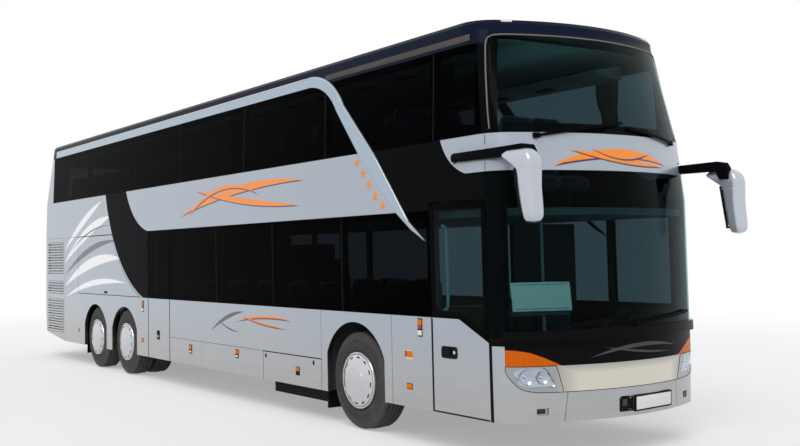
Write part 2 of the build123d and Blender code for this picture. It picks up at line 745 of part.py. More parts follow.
# seats: pedestal, cushion and leaning back, facing forward
seat_side = [(-120, 0), (-120, 280), (0, 290), (0, 430), (-390, 400), (-500, 1130), (-600, 1130), (-530,
                                                                                                   280),
             (-400, 280), (-400, 0)]
seat_out = lining - 45
seat_wide = 870
upper_pitch = 790
upper_first = nose_x - 1530
upper_rows = int((upper_first - upper_rear - 700) / upper_pitch) + 1
lower_pitch = 800
lower_first = wheel_seam - 420
lower_rows = int((lower_first - mid_front - 590) / lower_pitch) + 1
cab_seat_x = nose_x - 1180


def seat_profile(x, y, z):
    with BuildSketch(Plane.XZ.offset(-y)) as flat:
        with BuildLine():
            Polyline(*[(x + dx, z + dz) for dx, dz in seat_side], close=True)
        make_face()
    return flat.sketch


with BuildPart() as seats_upper:
    for n in range(upper_rows):
        x = upper_first - n * upper_pitch
        extrude(seat_profile(x, seat_wide - seat_out, deck_top), amount=seat_wide)
        if x < stair_x - 50 or x - 650 > stair_x + stair_length:
            extrude(seat_profile(x, seat_out, deck_top), amount=seat_wide)
seats_upper.part.label = "seats_upper"
export_step(seats_upper.part, "parts/seats_upper.step")

with BuildPart() as seats_lower:
    for n in range(lower_rows):
        x = lower_first - n * lower_pitch
        extrude(seat_profile(x, seat_wide - seat_out, floor_top), amount=seat_wide)
        if x - 650 > stair_x + stair_length:
            extrude(seat_profile(x, seat_out, floor_top), amount=seat_wide)
    extrude(seat_profile(cab_seat_x, lining - 265, floor_top), amount=520)
seats_lower.part.label = "seats_lower"
export_step(seats_lower.part, "parts/seats_lower.step")

dash_x = nose_x - 620
wheel_side = lining - 525
with BuildPart() as dashboard:
    with BuildSketch(Plane.XZ.offset(115 - lining)):
        with BuildLine():
            Polyline((dash_x, floor_top), (dash_x - 40, 900), (dash_x + 60, 1060), (dash_x + 330,
                                                                                    ledge_z - 20),
                     (dash_x + 330, floor_top), close=True)
        make_face()
    extrude(amount=lining + 435)
    add(room.part, mode=Mode.INTERSECT)
    with BuildSketch(Plane(origin=(dash_x + 40, wheel_side, 870), z_dir=(-0.8, 0, 0.6))):
        Circle(30)
    extrude(amount=300)
    with BuildSketch(Plane(origin=(dash_x - 200, wheel_side, 1050), z_dir=(-0.8, 0, 0.6))):
        Circle(230)
        Circle(205, mode=Mode.SUBTRACT)
        Rectangle(60, 420)
    extrude(amount=22)
dashboard.part.label = "dashboard"
export_step(dashboard.part, "parts/dashboard.step")

# frame rails under the rear, the axles and the engine
rail_low = hold_top - 290
with BuildPart() as chassis_rails:
    for side in (-1, 1):
        slab(tail_x + 120, door_line - 100, side * rail_y - 40, side * rail_y + 40, rail_low, hold_top - 50)
    for x in (drive_axle_x + 330, drive_axle_x - 330, tag_axle_x - 330):
        slab(x - 60, x + 60, -rail_y, rail_y, rail_low + 40, hold_top - 90)
    slab(tail_x + 120, hold_rear - 50, -lining, lining, hold_top - 100, hold_top - 50)
    add(room.part, mode=Mode.INTERSECT)
chassis_rails.part.label = "chassis_rails"
export_step(chassis_rails.part, "parts/chassis_rails.step")

beam = 60
pad_y = box_in + 100
with BuildPart() as front_axle:
    slab(front_axle_x - 55, front_axle_x + 55, -kingpin_y, kingpin_y, tyre_radius - beam, tyre_radius + beam)
    for side in (-1, 1):
        with Locations((front_axle_x, side * kingpin_y, tyre_radius)):
            Cylinder(60, 2 * beam)
        with Locations((front_axle_x, side * (box_in - 130), (tyre_radius + beam + axle_floor - 50) / 2)):
            Cylinder(90, axle_floor - 50 - tyre_radius - beam)
        slab(front_axle_x - 50, front_axle_x + 50, side * pad_y - 50, side * pad_y + 50,
             tyre_radius - beam - 15, tyre_radius)
front_axle.part.label = "front_axle"
export_step(front_axle.part, "parts/front_axle.step")

tag_beam = wheel_y - 256
with BuildPart() as rear_axles:
    with Locations((drive_axle_x, 0, tyre_radius)):
        Cylinder(110, 2 * (twin_face - 305), rotation=(90, 0, 0))
        Cylinder(80, 2 * (twin_face - rub), rotation=(90, 0, 0))
        Sphere(240)
    slab(tag_axle_x - beam, tag_axle_x + beam, -tag_beam, tag_beam, tyre_radius - beam, tyre_radius + beam)
    for side in (-1, 1):
        with Locations((tag_axle_x, side * (tag_beam + hub_face - rub) / 2, tyre_radius)):
            Cylinder(85, hub_face - rub - tag_beam, rotation=(90, 0, 0))
        for x in (drive_axle_x, tag_axle_x):
            slab(x - 70, x + 70, side * rail_y - 60, side * rail_y + 60, tyre_radius, rail_low)
rear_axles.part.label = "rear_axles"
export_step(rear_axles.part, "parts/rear_axles.step")

with BuildPart() as engine_block:
    slab(tail_x + 260, hold_rear + 240, -rail_y + 40, rail_y - 40, 420, hold_top - 100)
engine_block.part.label = "engine_block"
export_step(engine_block.part, "parts/engine_block.step")

# steering knuckles, tyres and rims
tyre_half = tyre_width / 2
rim_half = tyre_half - 20
tread = tyre_radius - rim_radius
tyre_shape = [(-rim_half, rim_radius), (-tyre_half, rim_radius + 0.3 * tread), (-tyre_half + 6,
                                                                                rim_radius + 0.78 * tread),
              (-tyre_half + 28, tyre_radius - 8), (-tyre_half + 60, tyre_radius), (tyre_half - 60,
                                                                                   tyre_radius),
              (tyre_half - 28, tyre_radius - 8), (tyre_half - 6, rim_radius + 0.78 * tread),
              (tyre_half, rim_radius + 0.3 * tread), (rim_half, rim_radius)]


def turned(x, points):
    with BuildSketch(Plane(origin=(x, 0, tyre_radius), x_dir=(0, 1, 0), z_dir=(1, 0, 0))) as flat:
        with BuildLine():
            Polyline(*points, close=True)
        make_face()
    return flat.sketch


knuckle_out = hub_face - 60
for side, word in ((1, "left"), (-1, "right")):
    with BuildPart() as knuckle:
        for z0, z1 in ((tyre_radius - beam - 30, tyre_radius - beam - rub), (tyre_radius + beam + rub,
                                                                             tyre_radius + beam + 30)):
            slab(front_axle_x - 60, front_axle_x + 60, side * (kingpin_y - 60), side * knuckle_out, z0, z1)
        slab(front_axle_x - 60, front_axle_x + 60, side * (knuckle_out - 30), side * knuckle_out,
             tyre_radius - beam - 30, tyre_radius + beam + 30)
        with Locations((front_axle_x, side * (knuckle_out + hub_face - rub) / 2, tyre_radius)):
            Cylinder(85, hub_face - rub - knuckle_out, rotation=(90, 0, 0))
    knuckle.part.label = "knuckle_" + word
    export_step(knuckle.part, "parts/knuckle_" + word + ".step")

    for axle_x, name in ((front_axle_x, "front"), (drive_axle_x, "drive"), (tag_axle_x, "tag")):
        turn = Axis((axle_x, 0, tyre_radius), (0, 1, 0))
        centres = [wheel_y, wheel_y - twin_step] if name == "drive" else [wheel_y]
        with BuildPart() as tyre:
            for centre in centres:
                revolve(turned(axle_x, [(side * (centre + y), r) for y, r in tyre_shape]), axis=turn)
        tyre.part.label = "tyre_" + name + "_" + word
        export_step(tyre.part, "parts/tyre_" + name + "_" + word + ".step")

        bore = rim_radius - 24
        face = wheel_y + rim_half
        if name == "drive":
            back = [(twin_face, 0), (twin_face, bore), (wheel_y - twin_step - rim_half, bore),
                    (wheel_y - twin_step - rim_half, rim_radius)]
        else:
            back = [(hub_face, 0), (hub_face, bore), (wheel_y - rim_half, bore), (wheel_y - rim_half,
                                                                                  rim_radius)]
        front = [(face, rim_radius), (face + 8, rim_radius + 14), (face + 14, rim_radius + 14),
                 (face + 16, 150), (face + 20, 60), (face + 20, 0)]
        with BuildPart() as rim:
            revolve(turned(axle_x, [(side * y, r) for y, r in back + front]), axis=turn)
        rim.part.label = "rim_" + name + "_" + word
        export_step(rim.part, "parts/rim_" + name + "_" + word + ".step")

# swing-out doors: name, rear edge, front edge, head, drop of the glass foot towards the front edge
post_in = 80
post_y = lining - 85
arm_length = 600
arm_levels = (floor_top + 296, floor_top + 696)
door_rows = [("front", door_rear, door_front, door_head, 195), ("mid", mid_rear, mid_front, belt_z - gap, 0)]
for name, x0, x1, head, slope in door_rows:
    bend = x0 + 0.5 * (x1 - x0)
    pane_area = area((x0, sill_z), (bend, sill_z), (x1, sill_z - slope), (x1, head), (x0, head))
    hole_area = area((x0 + 70, sill_z + 70), (bend, sill_z + 70), (x1 - 70, sill_z + 70 - 0.83 * slope),
                     (x1 - 70, head - 70),
                     (x0 + 70, head - 70))
    pivot_x = x1 - post_in
    tip_x = pivot_x - arm_length
    with BuildPart() as leaf_glass:
        extrude(pane_area, amount=reach)
        add(glazing, mode=Mode.INTERSECT)
    leaf_glass.part.label = name + "_door_glass"
    export_step(leaf_glass.part, "parts/" + name + "_door_glass.step")

    with BuildPart() as leaf:
        extrude(patch(x0, x1, skirt_z, head), amount=reach)
        add(skin, mode=Mode.INTERSECT)
        add(leaf_glass.part, mode=Mode.SUBTRACT)
        extrude(hole_area, amount=reach, mode=Mode.SUBTRACT)
        for z in arm_levels:
            slab(tip_x - 35, tip_x + 35, -lining, -post_y + 35, z + 20 + rub, z + 45)
            slab(tip_x - 35, tip_x + 35, -lining, -post_y + 35, z - 45, z - 20 - rub)
    leaf.part.label = name + "_door"
    export_step(leaf.part, "parts/" + name + "_door.step")

    with BuildPart() as arm:
        with Locations((pivot_x, -post_y, (floor_top + deck_under) / 2)):
            Cylinder(24, deck_under - floor_top - 2 * rub)
        for z in arm_levels:
            slab(tip_x, pivot_x, -post_y - 20, -post_y + 20, z - 20, z + 20)
            with Locations((tip_x, -post_y, z)):
                Cylinder(30, 40)
    arm.part.label = name + "_door_arm"
    export_step(arm.part, "parts/" + name + "_door_arm.step")

# mirror heads hang from arms bedded in the band: height over the band's foot, rear offset, depth, width,
# corner
head_x = nose_x + mirror_reach - 120
head_rows = [
    (-530, 0, 96, 110, 34),
    (-470, -20, 140, 160, 46),
    (-250, -55, 160, 176, 52),
    (-90, -81, 190, 180, 52),
    (-10, -180, 285, 176, 48),
    (45, -262, 340, 156, 42),
    (78, -240, 285, 112, 34),
]
# side, height of the head and of the arm against the band, distance out, rear end of the arm
mirror_sides = [(1, -50, 75, half + 85, band_top + 350), (-1, 55, 150, half + 70, band_top + 210)]
with BuildPart() as mirror_heads:
    for side, head_lift, arm_lift, out, arm_end in mirror_sides:
        plates = []
        for over, rear_off, deep, wide, corner in head_rows:
            with BuildSketch(Plane.XY.offset(brow_z + head_lift + over)) as plate:
                with Locations((head_x + rear_off + deep / 2, side * out)):
                    RectangleRounded(deep, wide, corner)
            plates.append(plate.sketch)
        loft(plates, ruled=True)
mirror_heads.part.label = "mirror_heads"
export_step(mirror_heads.part, "parts/mirror_heads.step")

glass_lean = 0.1605
with BuildPart() as mirror_glass:
    for side, head_lift, arm_lift, out, arm_end in mirror_sides:
        low = brow_z + head_lift - 460
        high = brow_z + head_lift - 100
        low_x = head_x - 20 - 10 * glass_lean
        high_x = head_x - 20 - 370 * glass_lean
        with BuildSketch(Plane.XZ.offset(60 - side * out)):
            with BuildLine():
                Polyline((low_x, low), (low_x - 6, low), (high_x - 6, high), (high_x, high), close=True)
            make_face()
        extrude(amount=-120)
mirror_glass.part.label = "mirror_glass"
export_step(mirror_glass.part, "parts/mirror_glass.step")

with BuildPart() as mirror_arms:
    for side, head_lift, arm_lift, out, arm_end in mirror_sides:
        z = brow_z + arm_lift
        with BuildSketch(Plane.XZ.offset(-half - 48 if side > 0 else half - 22)):
            with BuildLine():
                Polyline((arm_end, z - 20), (arm_end + 20, z - 40), (nose_x - 380, z - 42), (nose_x + 20,
                                                                                             z - 48),
                         (nose_x + 60, z - 130), (nose_x + 160, z - 130), (nose_x + 154, z - 20),
                         (nose_x + 120, z + 34),
                         (nose_x + 40, z + 50), (nose_x - 380, z + 42), (arm_end + 20, z + 40), (arm_end,
                                                                                                 z + 20),
                         close=True)
            make_face()
        extrude(amount=70)
    add(mirror_heads.part, mode=Mode.SUBTRACT)
mirror_arms.part.label = "mirror_arms"
export_step(mirror_arms.part, "parts/mirror_arms.step")

flap_y = wheel_y - 20
box_y = lining - 415
with BuildPart() as under_boxes:
    for side in (-1, 1):
        slab(wheel_seam - 1240, wheel_seam + 20, side * box_y - 380, side * box_y + 380, 215, skirt_z)
        slab(box_out_rear - 20, box_out_rear, side * flap_y - 140, side * flap_y + 140, 150, skirt_z)
        slab(tag_axle_x - tyre_radius - 118, tag_axle_x - tyre_radius - 98, side * flap_y - 140,
             side * flap_y + 140, 200, hold_top - 50)
under_boxes.part.label = "under_boxes"
export_step(under_boxes.part, "parts/under_boxes.step")
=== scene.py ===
import bmesh
import bpy
import math
from mathutils import Matrix, Vector
from mathutils.bvhtree import BVHTree


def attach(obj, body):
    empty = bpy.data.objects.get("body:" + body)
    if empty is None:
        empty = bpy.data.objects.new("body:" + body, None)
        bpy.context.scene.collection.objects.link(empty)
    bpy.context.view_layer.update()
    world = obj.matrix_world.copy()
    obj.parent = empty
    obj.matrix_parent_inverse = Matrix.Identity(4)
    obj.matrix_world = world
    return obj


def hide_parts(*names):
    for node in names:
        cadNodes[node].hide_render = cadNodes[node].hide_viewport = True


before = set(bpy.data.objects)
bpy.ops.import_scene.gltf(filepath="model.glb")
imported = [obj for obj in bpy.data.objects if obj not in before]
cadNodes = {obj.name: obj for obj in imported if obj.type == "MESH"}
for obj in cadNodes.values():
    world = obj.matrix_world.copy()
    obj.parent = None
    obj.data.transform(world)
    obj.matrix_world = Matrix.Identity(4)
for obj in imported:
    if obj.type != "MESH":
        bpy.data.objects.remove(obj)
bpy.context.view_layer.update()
scene = bpy.context.scene
print("frame loaded:", len(cadNodes), "nodes")

tailX = -7.07
halfWidth = 1.275
wheelRadius = 0.522
wheelY = 1.076
axleRows = {"front": 4.1392, "drive": -2.5613, "tag": -3.9113}
sideWords = ((-1, "right"), (1, "left"))


# camera at the photographer's place
cameraSettings = {"place": (13.5023, -7.5111, 1.8727), "heading": 148.225, "tilt": 3.67, "roll": -0.977,
                  "lens": 46.842, "sensor": 36, "shiftX": 0.1036, "shiftY": -0.0439, "clipEnd": 400}


def placeCamera(cfg):
    heading, tilt, roll = (math.radians(cfg[k]) for k in ("heading", "tilt", "roll"))
    flat = math.cos(tilt)
    look = Vector((flat * math.cos(heading), flat * math.sin(heading), math.sin(tilt)))
    right = Vector((math.sin(heading), -math.cos(heading), 0))
    up = right.cross(look)
    across = math.cos(roll) * right + math.sin(roll) * up
    over = -math.sin(roll) * right + math.cos(roll) * up
    data = bpy.data.cameras.new("photoCamera")
    data.lens, data.sensor_width, data.clip_end = cfg["lens"], cfg["sensor"], cfg["clipEnd"]
    data.shift_x, data.shift_y = cfg["shiftX"], cfg["shiftY"]
    cam = bpy.data.objects.new("photoCamera", data)
    turn = Matrix((across, over, -look)).transposed().to_4x4()
    cam.matrix_world = Matrix.Translation(cfg["place"]) @ turn
    scene.collection.objects.link(cam)
    scene.camera = cam


placeCamera(cameraSettings)


# shader helpers
def rgb(r, g, b):
    return (r, g, b, 1.0)


def setInputs(tree, made, values):
    for key, value in values.items():
        if isinstance(value, shaderValue):
            tree.links.new(value.socket, made.inputs[key])
        else:
            made.inputs[key].default_value = value


def node(tree, kind, inputs=None, **settings):
    made = tree.nodes.new("ShaderNode" + kind)
    for key, value in settings.items():
        setattr(made, key, value)
    setInputs(tree, made, inputs or {})
    return made


def take(tree, kind, inputs=None, output=0, **settings):
    return shaderValue(node(tree, kind, inputs, **settings).outputs[output])


# an output of a shader node; reckoning with it adds math nodes
class shaderValue:
    def __init__(self, socket):
        self.socket, self.tree = socket, socket.id_data

    def calc(self, how, *others):
        return take(self.tree, "Math", dict(enumerate((self, *others))), operation=how)

    def __add__(self, other):
        return self.calc("ADD", other)

    def __sub__(self, other):
        return self.calc("SUBTRACT", other)

    def __rsub__(self, number):
        return take(self.tree, "Math", {0: number, 1: self}, operation="SUBTRACT")

    def __mul__(self, other):
        return self.calc("MULTIPLY", other)

    def __abs__(self):
        return self.calc("ABSOLUTE")

    def spread(self, fromLow, fromHigh, toLow, toHigh):
        return take(self.tree, "MapRange", {0: self, 1: fromLow, 2: fromHigh, 3: toLow, 4: toHigh}, clamp=True)

    # two colours mixed, with this value as the share of the second
    def blend(self, a, b):
        return take(self.tree, "Mix", {0: self, 6: a, 7: b}, 2, data_type="RGBA")


def objectPlace(tree):
    return take(tree, "TexCoord", None, "Object")


def axes(tree, source="Object"):
    split = node(tree, "SeparateXYZ", {0: take(tree, "TexCoord", None, source)})
    return {letter: shaderValue(split.outputs[letter]) for letter in "XYZ"}


def noise(where, scale, detail, roughness=0.5):
    values = {"Vector": where, "Scale": scale, "Detail": detail, "Roughness": roughness}
    return take(where.tree, "TexNoise", values, "Fac")


def cellGap(where, scale):
    return take(where.tree, "TexVoronoi", {"Vector": where, "Scale": scale}, "Distance")


def stretched(where, scale):
    return take(where.tree, "Mapping", {"Vector": where, "Scale": scale})


def relief(height, strength, distance):
    return take(height.tree, "Bump", {"Height": height, "Strength": strength, "Distance": distance})


# a shader group from a function that takes the group's inputs and gives its outputs in order
def shaderGroup(name, build, outputs, **inputs):
    tree = bpy.data.node_groups.new(name, "ShaderNodeTree")

    def addSocket(label, way):
        kind = "Color" if label in ("Colour", "Fleck") else "Float"
        return tree.interface.new_socket(name=label, in_out=way, socket_type="NodeSocket" + kind)

    for label, value in inputs.items():
        addSocket(label, "INPUT").default_value = value
    for label in outputs:
        addSocket(label, "OUTPUT")
    start, end = tree.nodes.new("NodeGroupInput"), tree.nodes.new("NodeGroupOutput")
    get = {label: shaderValue(start.outputs[label]) for label in inputs}
    setInputs(tree, end, dict(zip(outputs, build(tree, get))))
    return tree


def fromGroup(tree, group, values):
    made = node(tree, "Group", values, node_tree=group)
    return {socket.name: shaderValue(socket) for socket in made.outputs}


# fine flake, soft mottling and road dust that thickens towards the road
def paintCoat(tree, get):
    where = objectPlace(tree)
    broad = noise(where, 0.7, 3.0)
    streak = noise(stretched(where, (0.9, 0.9, 5.0)), 3.0, 5.0, 0.65)
    low = axes(tree)["Z"].spread(0.25, 1.0, 1.0, 0.0)
    soil = low * streak.spread(0.35, 0.75, 0.25, 1.0) * get["Dust"]
    lift = (noise(where, 420.0, 2.0) - 0.5) * get["Flake"] + (broad - 0.5) * 0.08
    shade = take(tree, "HueSaturation", {"Color": get["Colour"], "Value": lift + 1.0})
    rough = get["Gloss"] + (soil * 0.5 + broad * 0.05)
    return soil.blend(shade, rgb(0.30, 0.27, 0.23)), rough, noise(where, 55.0, 1.0)


# leather-like moulded grain with faint scuffs
def mouldGrain(tree, get):
    where = objectPlace(tree)
    cloud = noise(where, 4.0, 6.0, 0.7)
    mark = cloud.spread(0.5, 0.75, 0.0, 1.0) * get["Scuff"]
    return mark.blend(get["Colour"], rgb(0.33, 0.32, 0.30)), cloud * 0.3 + 0.45, cellGap(where, get["Scale"])


# crossed threads for seat cloth and curtains
def threadWeave(tree, get):
    where = objectPlace(tree)
    threads = {"Vector": where, "Scale": get["Scale"]}
    across, along = (take(tree, "TexWave", threads, "Fac", bands_direction=way) for way in "YZ")
    weave = across * along
    dots = cellGap(where, 26.0).spread(0.12, 0.2, 1.0, 0.0)
    tone = (dots * 0.8).blend(get["Colour"], get["Fleck"])
    return (weave * 0.35).blend(tone, rgb(0.0, 0.0, 0.0)), weave * 0.2 + 0.75, weave


# faint smears and dust on glass and lenses
def glassFilm(tree, get):
    cloud = noise(stretched(objectPlace(tree), (1.0, 1.0, 0.35)), 6.0, 6.0, 0.6)
    film = cloud.spread(0.4, 0.8, 0.0, 1.0) * get["Film"]
    return film.blend(get["Colour"], rgb(0.0, 0.0, 0.0)), film


# livery ribbons: tapering bands along a bowed line
def liveryRibbon(tree, get):
    t = (get["Along"] - get["From"]).calc("DIVIDE", get["To"] - get["From"])
    hump = t * 4.0 * (1.0 - t)
    bowed = get["Bow"].calc("MULTIPLY_ADD", hump, get["Foot"])
    line = get["Rise"].calc("MULTIPLY_ADD", t, bowed)
    edge = get["Wide"] * hump - abs(get["Height"] - line)
    return [edge.spread(0.0, 0.004, 0.0, 1.0)]


solidOutputs = ("Colour", "Roughness", "Height")
paintGroup = shaderGroup("paintCoat", paintCoat, solidOutputs, Colour=rgb(0.4, 0.4, 0.4), Flake=0.06, Dust=0.3,
                         Gloss=0.25)
grainGroup = shaderGroup("mouldGrain", mouldGrain, solidOutputs, Colour=rgb(0.05, 0.05, 0.05), Scale=300.0,
                         Scuff=0.2)
weaveGroup = shaderGroup("threadWeave", threadWeave, solidOutputs, Colour=rgb(0.1, 0.1, 0.15),
                         Fleck=rgb(0.3, 0.2, 0.1), Scale=500.0)
smearGroup = shaderGroup("glassFilm", glassFilm, ("Colour", "Roughness"), Colour=rgb(0.5, 0.5, 0.5), Film=0.05)
ribbonGroup = shaderGroup("liveryRibbon", liveryRibbon, ("Mask",), Along=0.0, Height=0.0, From=0.0, To=1.0,
                          Foot=1.0, Rise=0.5, Bow=0.1, Wide=0.1)


def startMaterial(name):
    mat = bpy.data.materials.new(name)
    mat.use_nodes = True
    return mat.node_tree, mat.node_tree.nodes["Principled BSDF"]


# a material whose colour, roughness and relief come from one group
def groupMaterial(name, group, values, inputs, bump=None, design=None):
    tree, shader = startMaterial(name)
    if design:
        values["Colour"] = design(tree, values["Colour"])
    made = fromGroup(tree, group, values)
    inputs.update({"Base Color": made["Colour"], "Roughness": made["Roughness"]})
    if bump:
        inputs["Normal"] = relief(made["Height"], *bump)
    setInputs(tree, shader, inputs)


def paintMaterial(name, colour, metallic=0.0, flake=0.06, dust=0.3, gloss=0.25, coat=0.0, ior=1.5, design=None):
    groupMaterial(name, paintGroup, {"Colour": colour, "Flake": flake, "Dust": dust, "Gloss": gloss},
                  {"Metallic": metallic, "Coat Weight": coat, "Coat Roughness": 0.03, "IOR": ior},
                  (0.04, 0.002), design)


def grainMaterial(name, colour, scuff, scale=300.0, ior=1.45):
    groupMaterial(name, grainGroup, {"Colour": colour, "Scale": scale, "Scuff": scuff}, {"IOR": ior}, (0.25, 0.001))


def clothMaterial(name, colour, fleck, scale):
    groupMaterial(name, weaveGroup, {"Colour": colour, "Fleck": fleck, "Scale": scale}, {"Sheen Weight": 0.3},
                  (0.3, 0.001))


def glassMaterial(name, colour, ior, film):
    groupMaterial(name, smearGroup, {"Colour": colour, "Film": film}, {"Transmission Weight": 1.0, "IOR": ior})


# louvre openings: low edge, high edge, number of blades; the dark colour is painted shade inside the openings
louvreSettings = {"groups": [(1.595, 2.195, 12), (1.215, 1.465, 5), (0.50, 1.13, 13)], "rear": -6.555,
                  "front": -5.645, "proud": 0.011, "dark": rgb(0.010, 0.011, 0.013)}

# livery ribbons: from, to, foot, rise, bow, half width, colour
liverySettings = {
    "rear": [(-5.58, -3.56, 2.02, 0.84, 0.07, 0.072, "white"), (-5.60, -3.14, 1.78, 0.80, 0.13, 0.100, "white"),
             (-5.58, -2.86, 1.55, 0.61, 0.16, 0.058, "shade"), (-5.56, -2.66, 1.36, 0.50, 0.18, 0.092, "white"),
             (-5.52, -2.46, 1.16, 0.30, 0.14, 0.052, "white"), (-5.40, -3.00, 1.92, 0.50, 0.16, 0.016, "shade")],
    "side": [(-0.36, 3.16, 2.45, 0.30, 0.13, 0.052, "orange"), (0.16, 3.06, 2.80, -0.34, -0.05, 0.040, "orange"),
             (-0.10, 2.10, 2.42, 0.20, 0.26, 0.026, "orange"), (1.30, 2.86, 1.02, 0.07, 0.06, 0.017, "orange"),
             (1.46, 2.76, 1.12, -0.12, -0.03, 0.012, "orange"), (0.62, 1.62, 0.86, 0.30, 0.06, 0.030, "shade"),
             (0.80, 1.50, 1.06, -0.16, -0.05, 0.014, "shade")],
    "band": [(-0.80, 0.72, 2.64, 0.04, 0.11, 0.042, "orange"), (-0.62, 0.64, 2.80, -0.13, -0.03, 0.030, "orange"),
             (-0.40, 0.46, 2.83, -0.02, -0.09, 0.016, "orange")],
    "nose": [(-0.52, 0.74, 0.90, 0.05, 0.07, 0.020, "shade"), (-0.36, 0.62, 1.00, -0.09, -0.02, 0.012, "shade")],
    "white": rgb(0.86, 0.87, 0.88), "shade": rgb(0.075, 0.08, 0.085), "orange": rgb(0.90, 0.26, 0.012),
    "under": rgb(0.07, 0.025, 0.075), "drop": 0.016}


def livery(zone, axis):
    def design(tree, base):
        where = axes(tree)
        # on the sides and rear the silver takes the painted ground reflection towards the sill
        colour = base if axis == "Y" else paintedGroundSheen(tree, base)
        for start, stop, foot, rise, bow, wide, tint in liverySettings[zone]:
            layers = [(0.0, tint)]
            if tint == "orange":
                layers.insert(0, (liverySettings["drop"], "under"))
            for drop, paint in layers:
                values = {"Along": where[axis], "Height": where["Z"], "From": start + drop, "To": stop + drop,
                          "Foot": foot - drop, "Rise": rise, "Bow": bow, "Wide": wide}
                colour = fromGroup(tree, ribbonGroup, values)["Mask"].blend(colour, liverySettings[paint])
        if zone == "rear":
            colour = louvrePaintedShade(where, colour, louvreSettings)
        # painted shade in the recesses of the sides and rear
        return paintedRecessShade(tree, colour) if axis == "X" else colour
    return design


# how far a place lies inside a rectangle
def insideOf(across, up, middleA, middleB, halfA, halfB):
    return (halfA - abs(across - middleA)).calc("MINIMUM", halfB - abs(up - middleB))


# painted shade: dark rectangles behind the blades stand for the shadowed louvre openings
def louvrePaintedShade(where, colour, cfg):
    for low, high, count in cfg["groups"]:
        inside = insideOf(where["X"], where["Z"], (cfg["rear"] + cfg["front"]) / 2, (high + low) / 2,
                          (cfg["front"] - cfg["rear"]) / 2, (high - low) / 2)
        colour = inside.spread(0.0, 0.003, 0.0, 1.0).blend(colour, cfg["dark"])
    return colour


# painted reflection: the silver is paler and warmer towards the sill, as if mirroring the pale ground
def paintedGroundSheen(tree, base):
    return axes(tree)["Z"].spread(0.35, 1.25, 1.0, 0.0).blend(base, rgb(0.45, 0.445, 0.445))


# painted shade: seams, slots and panel edges set back from the flat side are darkened as the shade inside these
# recesses, partly also the colour of the dark rubber seals and trim there
def paintedRecessShade(tree, base):
    return abs(axes(tree)["Y"]).spread(1.2690, 1.2725, 1.0, 0.0).blend(base, rgb(0.008, 0.008, 0.009))


# close upright ribs moulded inside a lamp lens
def ribbed(axis, pitch):
    def design(tree, base):
        where = axes(tree)
        dark = tuple(c * 0.55 for c in base[:3]) + (1.0,)
        ribs = where[axis].calc("PINGPONG", pitch).spread(0.1 * pitch, 0.5 * pitch, 0.0, 1.0)
        cross = where["Z"].calc("PINGPONG", 0.03).spread(0.0, 0.002, 0.6, 0.0)
        return cross.blend(ribs.blend(dark, base), dark)
    return design


# joints of the roof skin
def roofJoints(tree, base):
    line = (axes(tree)["X"] + 7.0).calc("PINGPONG", 1.15).spread(0.0, 0.006, 1.0, 0.0)
    return (line * 0.7).blend(base, rgb(0.0015, 0.002, 0.003))


# painted shade: a dark patch between the slats of the engine lid stands for the shadowed grille openings, over the
# painted ground reflection of the silver
def lidGrillePaintedShade(tree, base):
    where = axes(tree)
    inside = insideOf(where["Y"], where["Z"], 0.0, 1.11, 0.635, 0.272)
    return inside.spread(0.0, 0.004, 0.0, 1.0).blend(paintedGroundSheen(tree, base), rgb(0.010, 0.010, 0.011))


# painted reflection on the polished sheet: warm below, cooler along the top and at the rounded ends
def paintedNoseReflection(tree, base):
    where = axes(tree)
    top = where["Z"].spread(0.775, 0.845, 0.0, 0.62)
    ends = abs(where["Y"]).spread(0.60, 0.84, 0.0, 0.75)
    return top.calc("MAXIMUM", ends).blend(base, rgb(0.27, 0.285, 0.31))


# painted shade: a dark ring in the groove round each wheel cover
def coverGroovePaintedShade(tree, base):
    where = axes(tree)
    gaps = [abs(where["X"] - x) for x in axleRows.values()]
    near = gaps[0].calc("MINIMUM", gaps[1]).calc("MINIMUM", gaps[2])
    rise = where["Z"] - wheelRadius
    reach = (near * near + rise * rise).calc("SQRT")
    return abs(reach - 0.2785).spread(0.003, 0.006, 0.85, 0.0).blend(base, rgb(0.02, 0.02, 0.022))


# painted shade in recesses over the painted ground reflection, for doors and flaps
def flapPaintedShadeAndSheen(tree, base):
    return paintedRecessShade(tree, paintedGroundSheen(tree, base))


silverCoat = {"metallic": 0.55, "flake": 0.22, "dust": 0.35, "gloss": 0.27, "coat": 0.5}
silverDesigns = {"silverPaint": paintedGroundSheen, "sidePaint": livery("side", "X"), "rearPaint": livery("rear", "X"),
                 "flapPaint": flapPaintedShadeAndSheen, "bandPaint": livery("band", "Y"), "lidPaint": lidGrillePaintedShade}
for finish, pattern in silverDesigns.items():
    paintMaterial(finish, rgb(0.375, 0.420, 0.485), design=pattern, **silverCoat)
plain = {"flake": 0.03, "dust": 0.0}
lens = {"flake": 0.1, "dust": 0.0, "gloss": 0.08}
chrome = {"metallic": 1.0, "flake": 0.0, "dust": 0.0}
paintMaterial("blackPaint", rgb(0.004, 0.0045, 0.0055), flake=0.02, dust=0.04, gloss=0.05, ior=1.05)
paintMaterial("nosePaint", rgb(0.004, 0.004, 0.0045), flake=0.02, dust=0.05, gloss=0.05, ior=1.10,
              design=livery("nose", "Y"))
paintMaterial("roofPaint", rgb(0.006, 0.010, 0.026), flake=0.05, dust=0.06, gloss=0.12, ior=1.12, design=roofJoints)
paintMaterial("stripPaint", rgb(0.36, 0.45, 0.54), metallic=0.7, flake=0.15, dust=0.0, gloss=0.2, coat=0.4)
paintMaterial("nosePlate", rgb(0.70, 0.66, 0.57), metallic=1.0, flake=0.03, dust=0.05, gloss=0.09, design=paintedNoseReflection)
paintMaterial("brightMetal", rgb(0.66, 0.62, 0.54), metallic=1.0, flake=0.04, dust=0.1, gloss=0.09)
